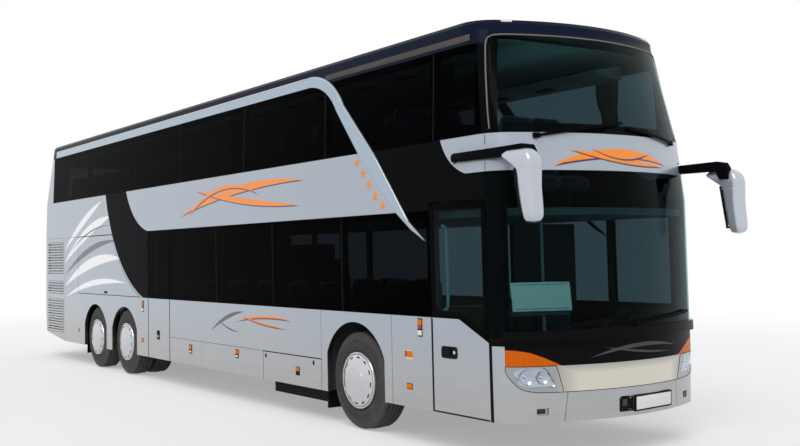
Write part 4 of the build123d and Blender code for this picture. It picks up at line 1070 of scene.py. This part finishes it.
# round-cornered fittings of the front door: middle X, middle Z, width, height, corner, inner and outer Y
handleRows = [(5.75, 0.933, 0.232, 0.112, 0.028, -1.268, -1.281), (5.722, 0.940, 0.120, 0.050, 0.018, -1.270, -1.291)]
lockRows = [(5.830, 0.938, 0.034, 0.034, 0.0168, -1.270, -1.2845)]


def buildSideLamps(cfg):
    back, seat = cfg["back"], cfg["seat"]
    amber, bezel, bright, red, clear = [], [], [], [], []
    for x, z, w, h in cfg["marker"]:
        bright += sideRows(x, z - 0.010, w + 0.014, h + 0.034, back, 1.2785)
        amber += sideRows(x + 0.012, z, w - 0.024, h, seat, 1.286)
        red += sideRows(x - w / 2 + 0.004, z, 0.020, h, seat, 1.285)
    for x, z, w, h in cfg["reflector"]:
        bezel += sideRows(x, z, w + 0.012, h + 0.012, back, 1.278)
        amber += sideRows(x, z, w, h, seat, 1.281)
    for x, z, w, h in cfg["tall"]:
        bezel += sideRows(x, z, w + 0.014, h + 0.014, back, 1.279)
        amber += sideRows(x, z + h * 0.30, w, h * 0.36, seat, 1.286)
        red += sideRows(x, z, w, h * 0.20, seat, 1.285)
        clear += sideRows(x, z - h * 0.32, w, h * 0.30, seat, 1.284)
    for x, z, w, h in cfg["skirt"]:
        bezel += sideRows(x, z, w, h, back, 1.280)
        amber += sideRows(x, z + h * 0.20, w - 0.014, h * 0.46, seat, 1.287)
        clear += sideRows(x, z - h * 0.28, w - 0.03, h * 0.22, seat, 1.284)
    for name, rows, finish in (("sideLamps", amber, "sideAmber"), ("sideLampReds", red, "redLens"),
                               ("sideLampBezels", bezel, "darkPlastic"),
                               ("sideLampSurrounds", bright, "brightMetal"),
                               ("sideLampWindows", clear, "plateWhite")):
        finishMesh(boxes(name, rows, 0.004), finish)


def buildFlapFittings(cfg):
    back, seat = cfg["back"], cfg["seat"]
    x, z, w, h = cfg["flapLamp"]
    latchX, latchZ = cfg["latch"]
    for side, word in sideWords:
        only = (side,)
        trim = sideRows(x, z, w, h, back, 1.280, only)
        for lockX in cfg["flapLocks"]:
            trim += sideRows(lockX, 0.645, 0.034, 0.048, back, 1.279, only)
            trim += sideRows(lockX, 0.650, 0.012, 0.022, back, 1.282, only)
        amber = sideRows(x, z + h * 0.2, w - 0.014, h * 0.46, seat, 1.286, only)
        finishMesh(boxes("flapLamp_" + word, amber, 0.004), "sideAmber", "service_flap_" + word)
        finishMesh(boxes("flapTrim_" + word, trim, 0.004), "darkPlastic", "service_flap_" + word)
        latch = sideRows(latchX, latchZ, 0.15, 0.036, back, 1.279, only)
        latch += sideRows(latchX, latchZ, 0.11, 0.016, back, 1.284, only)
        finishMesh(boxes("hatchLatch_" + word, latch, 0.005), "darkPlastic", "luggage_flap_" + word)


buildSideLamps(sideSettings)
buildFlapFittings(sideSettings)
finishMesh(plates("frontDoorHandle", handleRows), "darkPlastic", "front_door")
finishMesh(plates("frontDoorLock", lockRows), "brightMetal", "front_door")
for name, body, finish, bevel, rows in doorFittings:
    finishMesh(boxes(name, [box for row in rows for box in sideRows(*row, (-1,))], bevel), finish, body)
print("side fittings ready")


# bright lip on the strip, rubber round the upper screen, a bar under the roof and roof markers
trimSettings = {
    "lip": [(-6.05, 3.918), (-2.0, 3.918), (1.5, 3.918), (2.8, 3.918), (3.239, 3.917), (3.50, 3.872),
            (3.70, 3.790), (3.87, 3.650), (3.985, 3.510), (4.28, 3.214), (4.57, 2.924), (4.87, 2.556),
            (5.158, 2.192), (5.30, 2.080), (5.412, 1.998)],
    "screen": [(-1.241, 2.985), (-1.228, 3.16), (-1.209, 3.35), (-1.188, 3.54), (-1.166, 3.70), (-1.147, 3.81),
               (-1.11, 3.866), (-1.03, 3.884), (-0.866, 3.888), (-0.622, 3.888), (-0.3, 3.888), (0.0, 3.888)],
    "per": 6, "proud": 0.001, "bar": (4.86, 3.868, 2.52, 0.062, 0.012), "barProbe": (5.0, 3.87),
    "marker": (6.279, 0.93, 4.021, 0.11, 0.026, 0.03), "markerTurn": 0.36, "markerLean": -0.2,
    "lipTube": 0.0055, "edgingTube": 0.0075, "barBevel": 0.005, "markerBevel": 0.006}


def buildTrim(cfg):
    strip = surfaceOf("arch_strips")
    path = catmull([(x, 0, z) for x, z in cfg["lip"]], cfg["per"])
    lips = [[Vector((p.x, sideY(strip, side, p.x, p.z) + side * cfg["proud"], p.z)) for p in path]
            for side in (-1, 1)]
    finishMesh(tubes("stripLips", lips, cfg["lipTube"], 6), "brightMetal", angle=60, slot="strip_silver")
    glass = surfaceOf("windscreens", "front_pillars", "roof")
    half = catmull([(0, y, z) for y, z in cfg["screen"]], cfg["per"])
    loop = half + [Vector((0, -p.y, p.z)) for p in half[-2::-1]]
    path = [Vector((frontX(glass, p.y, p.z) + cfg["proud"], p.y, p.z)) for p in loop]
    finishMesh(tubes("screenEdging", [path], cfg["edgingTube"], 8), "edgeRubber", angle=60)
    roofSide = surfaceOf("roof", "arch_strips")
    x, z, wide, high, thick = cfg["bar"]
    bars = [((x, sideY(roofSide, side, *cfg["barProbe"]), z), (1, 0, 0), (0, 0, 1), wide, high, thick)
            for side in (-1, 1)]
    finishMesh(slabs("cantBars", bars, cfg["barBevel"], 3), "cantGrey")
    x, y, z, wide, high, thick = cfg["marker"]
    marks = [((x, side * y, z), (-side * cfg["markerTurn"], 1, 0), (cfg["markerLean"], 0, 1), wide, high, thick)
             for side in (-1, 1)]
    finishMesh(slabs("roofMarkers", marks, cfg["markerBevel"], 3), "plateWhite")


buildTrim(trimSettings)


# rubber joints between the bonded panes
paneSettings = {"upper": [-4.278, -2.307, -0.335, 1.637, 3.608, 5.580], "right": [0.818, 2.371, 3.925],
                "left": [-0.736, 0.818, 2.371, 3.925, 5.479], "upperSpan": (2.952, 3.796),
                "lowerSpan": (1.256, 2.276), "radius": 0.0042, "steps": 8, "probe": 0.02}


def buildPaneJoints(cfg):
    skin = surfaceOf("side_glass", "window_frames")
    runs = []
    for side, word in sideWords:
        for rows, (low, high) in ((cfg["upper"], cfg["upperSpan"]), (cfg[word], cfg["lowerSpan"])):
            levels = [low + (high - low) * k / cfg["steps"] for k in range(cfg["steps"] + 1)]
            runs += [[Vector((x, sideY(skin, side, x + cfg["probe"], z), z)) for z in levels] for x in rows]
    finishMesh(tubes("paneJoints", runs, cfg["radius"], 6), "jointRubber", angle=60)


buildPaneJoints(paneSettings)


# faces of a grid of points, row after row
def gridFaces(base, rows, columns):
    step = columns + 1
    starts = [base + r * step + c for r in range(rows) for c in range(columns)]
    return [(a, a + step, a + step + 1, a + 1) for a in starts]


# two escape hatches that follow the crown of the roof, each in a rubber seal
hatchSettings = {"centres": [2.6, -2.8], "long": 0.80, "wide": 0.72, "cells": 12, "proud": 0.0015, "thick": 0.010,
                 "seal": 0.006, "sealSink": 0.0045}


def buildHatches(cfg):
    skin = surfaceOf("roof")
    shares = [k / cfg["cells"] - 0.5 for k in range(cfg["cells"] + 1)]
    a, b = cfg["long"] / 2, cfg["wide"] / 2
    corners = [(-a, -b), (0, -b), (a, -b), (a, 0), (a, b), (0, b), (-a, b), (-a, 0)]
    verts, faces, loops = [], [], []
    for centre in cfg["centres"]:
        faces += gridFaces(len(verts), cfg["cells"], cfg["cells"])
        for x in (centre + cfg["long"] * u for u in shares):
            verts += [(x, y, roofZ(skin, x, y) + cfg["proud"]) for y in (cfg["wide"] * v for v in shares)]
        loops.append([Vector((centre + x, y, roofZ(skin, centre + x, y) - cfg["sealSink"])) for x, y in corners])
    lids = addObject("roofHatches", verts, faces)
    thicken(lids, (0, 0, 1), cfg["thick"])
    finishMesh(lids, "hatchGrey")
    finishMesh(tubes("hatchSeals", loops, cfg["seal"], 8, True), "darkPlastic", angle=60)


buildHatches(hatchSettings)


# dark panels under the rails between the axles and in the front axle tunnel: partly tanks and suspension parts,
# partly a dark sheet standing in for the shadow under the body
underPartsAndShadeSettings = {"rear": [(-4.98, -4.02), (-3.80, -2.83), (-2.30, -1.68)], "front": [(3.50, 3.98), (4.30, 4.78)],
                  "step": [(4.78, 5.05)], "inner": 0.297, "outer": 0.303, "low": 0.27,
                  "rearTop": 1.0, "frontTop": 0.66, "stepTop": 0.353}


def buildUnderPartsAndShade(cfg):
    rows = []
    for key in ("rear", "front", "step"):
        low, top = cfg["low"], cfg[key + "Top"]
        for x0, x1 in cfg[key]:
            rows += sideRows((x0 + x1) / 2, (low + top) / 2, x1 - x0, top - low, cfg["inner"], cfg["outer"])
    finishMesh(boxes("splashPanels", rows, 0.001), "darkPlastic")


buildUnderPartsAndShade(underPartsAndShadeSettings)
print("trim ready")


# front fittings on the bumper: blank plate, fog lamps and the frame of the towing cover
# each is middle Y, middle Z, width, height; depths are (thickness, how far it stands proud)
noseSettings = {"plate": (0.30, 0.464, 0.545, 0.118), "fog": (0.942, 0.452, 0.086, 0.048),
                "tow": (-0.075, 0.466, 0.150, 0.118), "frame": 0.014, "margin": (0.034, 0.030), "bowlInset": 0.01,
                "surroundDepth": (0.022, 0.010), "plateDepth": (0.020, 0.0125), "fogDepth": (0.024, 0.004),
                "bowlDepth": (0.010, -0.020), "frameDepth": (0.016, 0.006), "barThick": 0.008,
                "towBars": [(-0.138, 0.466, 0.026, 0.10), (-0.030, 0.466, 0.060, 0.10),
                            (-0.092, 0.516, 0.070, 0.012), (-0.092, 0.430, 0.070, 0.034)]}


# a slab laid on the skin of the nose
def frontSlab(skin, y, z, wide, high, thick, proud):
    right, left = (frontX(skin, y + s * 0.4 * wide, z) for s in (-1, 1))
    foot, top = (frontX(skin, y, z + s * 0.4 * high) for s in (-1, 1))
    across = Vector((left - right, 0.8 * wide, 0)).normalized()
    up = Vector((top - foot, 0, 0.8 * high)).normalized()
    out = across.cross(up).normalized()
    x = max(frontX(skin, y, z), (right + left) / 2)
    return (Vector((x, y, z)) + out * (proud - thick / 2), across, up, wide, high, thick)


def buildNose(cfg):
    skin = surfaceOf("front_bumper")
    y, z, wide, high = cfg["plate"]
    surround = frontSlab(skin, y, z, wide + cfg["margin"][0], high + cfg["margin"][1], *cfg["surroundDepth"])
    plate = frontSlab(skin, y, z, wide, high, *cfg["plateDepth"])
    finishMesh(slabs("plateFrame", [surround], 0.005), "darkPlastic")
    finishMesh(slabs("blankPlate", [plate], 0.003), "plateWhite")
    y, z, wide, high = cfg["fog"]
    inset = cfg["bowlInset"]
    glass = [frontSlab(skin, s * y, z, wide, high, *cfg["fogDepth"]) for s in (-1, 1)]
    bowls = [frontSlab(skin, s * y, z, wide - inset, high - inset, *cfg["bowlDepth"]) for s in (-1, 1)]
    finishMesh(slabs("fogLamps", glass, 0.010, 3), "tintGlass")
    finishMesh(slabs("fogBowls", bowls, 0.004, 2), "mirrorFace")
    y, z, wide, high = cfg["tow"]
    bar, depth, thick = cfg["frame"], cfg["frameDepth"], cfg["barThick"]
    rows = [frontSlab(skin, y, z + s * high / 2, wide + bar, bar, *depth) for s in (1, -1)]
    rows += [frontSlab(skin, y + s * wide / 2, z, bar, high, *depth) for s in (1, -1)]
    middle, across, up = frontSlab(skin, 0.03, z, 0.02, 0.02, thick, 0.001)[:3]
    rows += [(Vector((middle.x, ty, tz)), across, up, w, h, thick) for ty, tz, w, h in cfg["towBars"]]
    finishMesh(slabs("towFrame", rows, 0.003), "darkPlastic")


buildNose(noseSettings)
print("nose fittings ready")


# dark joint lines round the lamps, under the bright panel and on the band
seamSettings = {
    "lamp": [[(-1.229, 0.856), (-1.224, 0.80), (-1.196, 0.735), (-1.136, 0.664), (-1.045, 0.631), (-0.90, 0.620),
              (-0.60, 0.618), (0.0, 0.618)],
             [(-0.826, 0.850), (-0.806, 0.80), (-0.784, 0.73), (-0.764, 0.66), (-0.757, 0.625)],
             [(-1.224, 0.853), (-1.10, 0.852), (-0.95, 0.852), (-0.826, 0.852)]],
    "lampTube": 0.0032, "bandTube": 0.003, "bandX": 6.318, "bandZ": (2.606, 2.68, 2.76, 2.85, 2.938)}


def buildJoints(cfg):
    skin = surfaceOf("headlamps", "indicators", "nose_panel", "front_bumper", "front_nose")
    runs = []
    for side in (1, -1):
        for points in cfg["lamp"]:
            path = [(frontX(skin, p.y, p.z), p.y, p.z) for p in catmull([(0, side * y, z) for y, z in points], 6)]
            runs.append([Vector(p) for p in path if p[0] is not None])
    finishMesh(tubes("lampJoints", runs, cfg["lampTube"], 6), "darkPlastic", angle=60)
    band, x = surfaceOf("front_band"), cfg["bandX"]
    lines = [[Vector((x, sideY(band, side, x, z), z)) for z in cfg["bandZ"]] for side in (-1, 1)]
    finishMesh(tubes("bandJoints", lines, cfg["bandTube"], 6), "darkPlastic", angle=60)


buildJoints(seamSettings)


# hooded blades over the louvre openings, which are painted dark as their shade
def buildLouvres(cfg):
    spots = []
    for low, high, count in cfg["groups"]:
        spots += [(0, 0, low + (n + 0.62) * (high - low) / count) for n in range(count)]
    y0, y1 = halfWidth - 0.004, halfWidth + cfg["proud"]
    section = [(y0, 0.012), (y1 - 0.002, -0.010), (y1, -0.014), (y1 - 0.004, -0.014), (y0, 0.004)]
    for side, word in sideWords:
        form = prism("bladeForm", section, cfg["rear"], cfg["front"], (side,))
        setOut("louvreBlades_" + word, spots, form, "silverPaint", 25)
        bpy.data.objects.remove(form)


buildLouvres(louvreSettings)
print("louvres ready")


# tail fittings: lamp rings and domes, window gasket, lid slats and reflectors
tailSettings = {"lampY": 1.01, "lampZ": (1.45, 1.23, 1.01), "ring": 0.068, "ringSteps": 36,
                "ringTube": 0.005, "gasketTube": 0.012, "slatTube": 0.0085, "domeInset": 0.004, "domeRise": 0.010,
                "domes": [("tailAmber", "amberLens"), ("tailRed", "redLens"), ("tailWhite", "plateWhite")],
                "window": (0.80, 3.01, 3.70), "corner": (0.04, 0.05), "grille": (0.62, 0.86, 1.36, 13),
                "reflector": (0.99, 0.66), "reflectorSize": (0.13, 0.045, 0.014), "highLampZ": 3.755,
                "highLampLean": -0.36, "highLampSize": (0.46, 0.030, 0.014)}


def domes(name, rows, radius, rise, steps=28, rings=5):
    verts, faces = [], []
    for x, y, z in rows:
        base = len(verts)
        for r in range(rings):
            a = math.pi / 2 * r / rings
            reach = radius * math.cos(a)
            for t in (2 * math.pi * k / steps for k in range(steps)):
                verts.append((x - rise * math.sin(a), y + reach * math.cos(t), z + reach * math.sin(t)))
        verts.append((x - rise, y, z))
        last = base + (rings - 1) * steps
        for k in range(steps):
            m = (k + 1) % steps
            for low in range(base, last, steps):
                faces.append((low + k, low + steps + k, low + steps + m, low + m))
            faces.append((last + k, last + steps, last + m))
        faces.append(tuple(base + k for k in range(steps)))
    return tidyNormals(addObject(name, verts, faces))


def buildTail(cfg):
    skin = surfaceOf("tail_lamps", "rear_wall", "engine_lid", "rear_glass")
    radius, turns = cfg["ring"], [2 * math.pi * k / cfg["ringSteps"] for k in range(cfg["ringSteps"])]
    spots = [[(rearX(skin, side * cfg["lampY"], z), side * cfg["lampY"], z) for side in (-1, 1)]
             for z in cfg["lampZ"]]
    rings = [[Vector((x - 0.001, y + radius * math.cos(a), z + radius * math.sin(a))) for a in turns]
             for side in (0, 1) for x, y, z in (pair[side] for pair in spots)]
    finishMesh(tubes("tailRings", rings, cfg["ringTube"], 8, True), "brightMetal", angle=60)
    for (name, finish), pair in zip(cfg["domes"], spots):
        rows = [(x + 0.002, y, z) for x, y, z in pair]
        finishMesh(domes(name, rows, radius - cfg["domeInset"], cfg["domeRise"]), finish, angle=50)
    half, low, high = cfg["window"]
    inY, inZ = cfg["corner"]
    mid = (low + high) / 2
    loop = [(-half, low + inZ), (-half + inY, low), (0, low), (half - inY, low), (half, low + inZ), (half, mid),
            (half, high - inZ), (half - inY, high), (0, high), (-half + inY, high), (-half, high - inZ), (-half, mid)]
    loop = catmull([(0, y, z) for y, z in loop], 6, True)
    path = [Vector((rearX(skin, p.y, p.z) + 0.004, p.y, p.z)) for p in loop]
    finishMesh(tubes("rearGasket", [path], cfg["gasketTube"], 8, True), "darkPlastic", angle=60)
    wide, low, high, count = cfg["grille"]
    lid = surfaceOf("engine_lid")
    across = [-wide + 2 * wide * k / 16 for k in range(17)]
    levels = [low + (high - low) * n / (count - 1) for n in range(count)]
    slats = [[Vector((rearX(lid, y, z) + 0.007, y, z)) for y in across] for z in levels]
    finishMesh(tubes("lidSlats", slats, cfg["slatTube"], 6), "silverPaint", "engine_lid", 60)
    y, z = cfg["reflector"]
    marks = [((rearX(skin, s * y, z) + 0.002, s * y, z), (0, -1, 0), (0, 0, 1), *cfg["reflectorSize"])
             for s in (-1, 1)]
    z = cfg["highLampZ"]
    lean = (cfg["highLampLean"], 0, 1)
    marks.append(((rearX(skin, 0, z) + 0.003, 0, z), (0, -1, 0), lean, *cfg["highLampSize"]))
    finishMesh(slabs("tailReflectors", marks, 0.003), "redLens")


buildTail(tailSettings)
print("tail fittings ready")


# inside: ceiling lining, parcel racks with reading lamps, grab rails, blank route board and tied curtains
insideSettings = {
    "rack": [(1.185, 3.70), (0.88, 3.725), (0.815, 3.755), (0.82, 3.79), (0.90, 3.80), (1.185, 3.86)],
    "rackSpan": (-5.9, 5.75),
    "lining": [(0.0, 3.908), (0.60, 3.906), (0.96, 3.892), (1.10, 3.868), (1.10, 3.876), (0.96, 3.902),
               (0.60, 3.916), (0.0, 3.918)],
    "liningSpan": (-6.1, 6.05),
    "pod": [(-0.11, 0.11, -0.07, 0.07, -0.014, 0.012), (-0.08, -0.04, -0.02, 0.02, -0.022, -0.010),
            (0.04, 0.08, -0.02, 0.02, -0.022, -0.010)],
    "podFirst": 4.8, "podPitch": 0.79, "podCount": 14, "podY": 1.0, "podZ": 3.712,
    "doorRails": [("frontDoorRail", "front_door", 5.62), ("midDoorRail", "mid_door", -1.44)],
    "railPath": [(-1.222, 1.32), (-1.185, 1.34), (-1.170, 1.40), (-1.170, 1.75), (-1.170, 2.05), (-1.185, 2.11),
                 (-1.222, 2.13)],
    "railTube": 0.016, "postTube": 0.017, "postX": 5.38, "postY": (-0.50, 0.30), "postZ": (0.41, 0.9, 1.6, 2.19),
    "cabScreen": [(4.955, 4.975, 0.30, 1.20, 0.415, 2.17), (4.945, 4.985, 0.28, 0.32, 0.415, 2.18),
                  (4.945, 4.985, 0.30, 1.20, 1.20, 1.25)],
    "frontRail": [(6.12, y, 3.02) for y in (-1.05, -0.5, 0.0, 0.5, 1.05)]}
boardSettings = {"right": -1.142, "left": -0.609, "low": 1.335, "high": 1.592, "behind": 0.075, "lean": -0.10,
                 "rule": 0.108, "shelf": (-0.06, 0, -0.15)}
curtainSettings = {"x": (5.42, 5.74), "z": (2.99, 3.69), "y": 1.150, "fold": 0.022, "columns": 72, "rows": 24,
                   "pleats": 9, "tieDraw": 0.45, "tieAt": 0.42, "tieSpread": 0.20}


def buildInside(cfg):
    finishMesh(prism("parcelRacks", cfg["rack"], *cfg["rackSpan"]), "liningPlastic", angle=20)
    finishMesh(prism("ceilingLining", cfg["lining"], *cfg["liningSpan"]), "liningPlastic", angle=30)
    pod = boxes("podForm", cfg["pod"], 0.005)
    spots = [(cfg["podFirst"] - cfg["podPitch"] * n, s * cfg["podY"], cfg["podZ"])
             for n in range(cfg["podCount"]) for s in (-1, 1)]
    setOut("readingPods", spots, pod, "dashPlastic")
    bpy.data.objects.remove(pod)


# blank route board on a shelf behind the lower screen
def buildBoard(cfg):
    skin = surfaceOf("windscreens")
    z = (cfg["low"] + cfg["high"]) / 2
    right, left = frontX(skin, cfg["right"], z), frontX(skin, cfg["left"], z)
    across = Vector((left - right, cfg["left"] - cfg["right"], 0))
    middle = Vector(((right + left) / 2 - cfg["behind"], (cfg["right"] + cfg["left"]) / 2, z))
    up, wide = Vector((cfg["lean"], 0, 1)), across.length
    board = [(middle, across, up, wide, cfg["high"] - cfg["low"], 0.008)]
    finishMesh(slabs("routeBoard", board, 0.002), "boardWhite")
    face, rise = middle + Vector((0.005, 0, 0)), up.normalized() * cfg["rule"]
    rules = [(face + rise * s, across, up, wide - 0.05, 0.006, 0.004) for s in (-1, 1)]
    finishMesh(slabs("boardRules", rules, 0.001), "stripPaint")
    shelf = [(middle + Vector(cfg["shelf"]), across, (0, 0, 1), wide, 0.05, 0.14)]
    finishMesh(slabs("boardShelf", shelf, 0.008), "dashPlastic")


def buildRails(cfg):
    for name, body, x in cfg["doorRails"]:
        rail = catmull([(x, y, z) for y, z in cfg["railPath"]], 6)
        finishMesh(tubes(name, [rail], cfg["railTube"], 12), "railPaint", body, 60)
    posts = [[Vector((cfg["postX"], y, z)) for z in cfg["postZ"]] for y in cfg["postY"]]
    finishMesh(tubes("cabPosts", posts, cfg["postTube"], 12), "railPaint", angle=60)
    finishMesh(boxes("cabScreen", cfg["cabScreen"], 0.004), "dashPlastic")
    rail = catmull(cfg["frontRail"], 4)
    finishMesh(tubes("frontRail", [rail], cfg["railTube"], 12), "railPaint", angle=60)


# pleated sheets drawn in at the tie
def buildCurtains(cfg):
    (x0, x1), (low, high) = cfg["x"], cfg["z"]
    columns, rows = cfg["columns"], cfg["rows"]
    for side, word in sideWords:
        verts = []
        for v in (r / rows for r in range(rows + 1)):
            tie = 1 - cfg["tieDraw"] * math.exp(-((v - cfg["tieAt"]) / cfg["tieSpread"]) ** 2)
            for u in (c / columns for c in range(columns + 1)):
                wave = math.sin(2 * math.pi * cfg["pleats"] * u + 0.5 * math.sin(5 * v))
                verts.append((x0 + (x1 - x0) * (0.5 + (u - 0.5) * tie), side * (cfg["y"] + cfg["fold"] * wave),
                              low + (high - low) * v))
        faces = [(a, d, c, b) for a, b, c, d in gridFaces(0, rows, columns)]
        obj = addObject("curtain_" + word, verts, faces)
        finishMesh(obj, "curtainCloth", angle=80)


buildInside(insideSettings)
buildBoard(boardSettings)
buildRails(insideSettings)
buildCurtains(curtainSettings)
print("inside ready")


# pale floor that fades to white far off, white surroundings and soft light
stageSettings = {"floor": 150.0, "sink": 0.002, "near": 8.0, "far": 20.0, "lift": 0.35, "worldLight": 0.62,
                 "sunPower": 1.25, "sunSoft": 40.0, "sunPlace": (8.0, -9.0, 14.0), "sunWay": (-0.50, 0.55, -0.85)}


# what the eye meets straight, in a mirror or through glass
def seenRays(tree):
    path = node(tree, "LightPath").outputs
    straight, mirrored, through = (shaderValue(path["Is %s Ray" % k]) for k in ("Camera", "Glossy", "Transmission"))
    return straight.calc("MAXIMUM", mirrored).calc("MAXIMUM", through)


def buildFloor(cfg):
    bm = bmesh.new()
    bmesh.ops.create_grid(bm, x_segments=1, y_segments=1, size=cfg["floor"])
    floor = fromBmesh("floorSheet", bm)
    floor.location = (0, 0, -cfg["sink"])
    tree, shader = startMaterial("floorPale")
    where = objectPlace(tree)
    tone = (noise(where, 0.4, 3.0) * 0.08).blend(rgb(0.95, 0.95, 0.95), rgb(0.88, 0.88, 0.88))
    setInputs(tree, shader, {"Base Color": tone, "Roughness": 0.95, "IOR": 1.05})
    flat = take(tree, "VectorMath", {0: where, 1: (0.75, 1.0, 0.0)}, operation="MULTIPLY")
    reach = take(tree, "VectorMath", {0: flat}, "Value", operation="LENGTH")
    wide = take(tree, "MapRange", {0: reach, 1: cfg["near"], 2: cfg["far"], 3: cfg["lift"]},
                interpolation_type="SMOOTHSTEP")
    glow = take(tree, "Emission", {"Color": rgb(1, 1, 1), "Strength": 1.0})
    mix = take(tree, "MixShader", {0: wide * seenRays(tree), 1: shaderValue(shader.outputs[0]), 2: glow})
    setInputs(tree, tree.nodes["Material Output"], {"Surface": mix})
    dress(floor, "floorPale")


def buildLight(cfg):
    world = bpy.data.worlds.new("studio")
    scene.world = world
    world.use_nodes = True
    tree = world.node_tree
    tree.nodes.clear()
    white = take(tree, "Background", {"Color": rgb(1, 1, 1), "Strength": 1.0})
    soft = take(tree, "Background", {"Color": rgb(0.95, 0.97, 1.0), "Strength": cfg["worldLight"]})
    mix = take(tree, "MixShader", {0: seenRays(tree), 1: soft, 2: white})
    setInputs(tree, node(tree, "OutputWorld"), {0: mix})
    data = bpy.data.lights.new("softSun", "SUN")
    data.energy = cfg["sunPower"]
    data.angle = math.radians(cfg["sunSoft"])
    lamp = bpy.data.objects.new("softSun", data)
    lamp.location = cfg["sunPlace"]
    lamp.rotation_euler = Vector(cfg["sunWay"]).to_track_quat("-Z", "Y").to_euler()
    scene.collection.objects.link(lamp)
    scene.view_settings.view_transform = "Standard"


buildFloor(stageSettings)
buildLight(stageSettings)
print("scene ready")
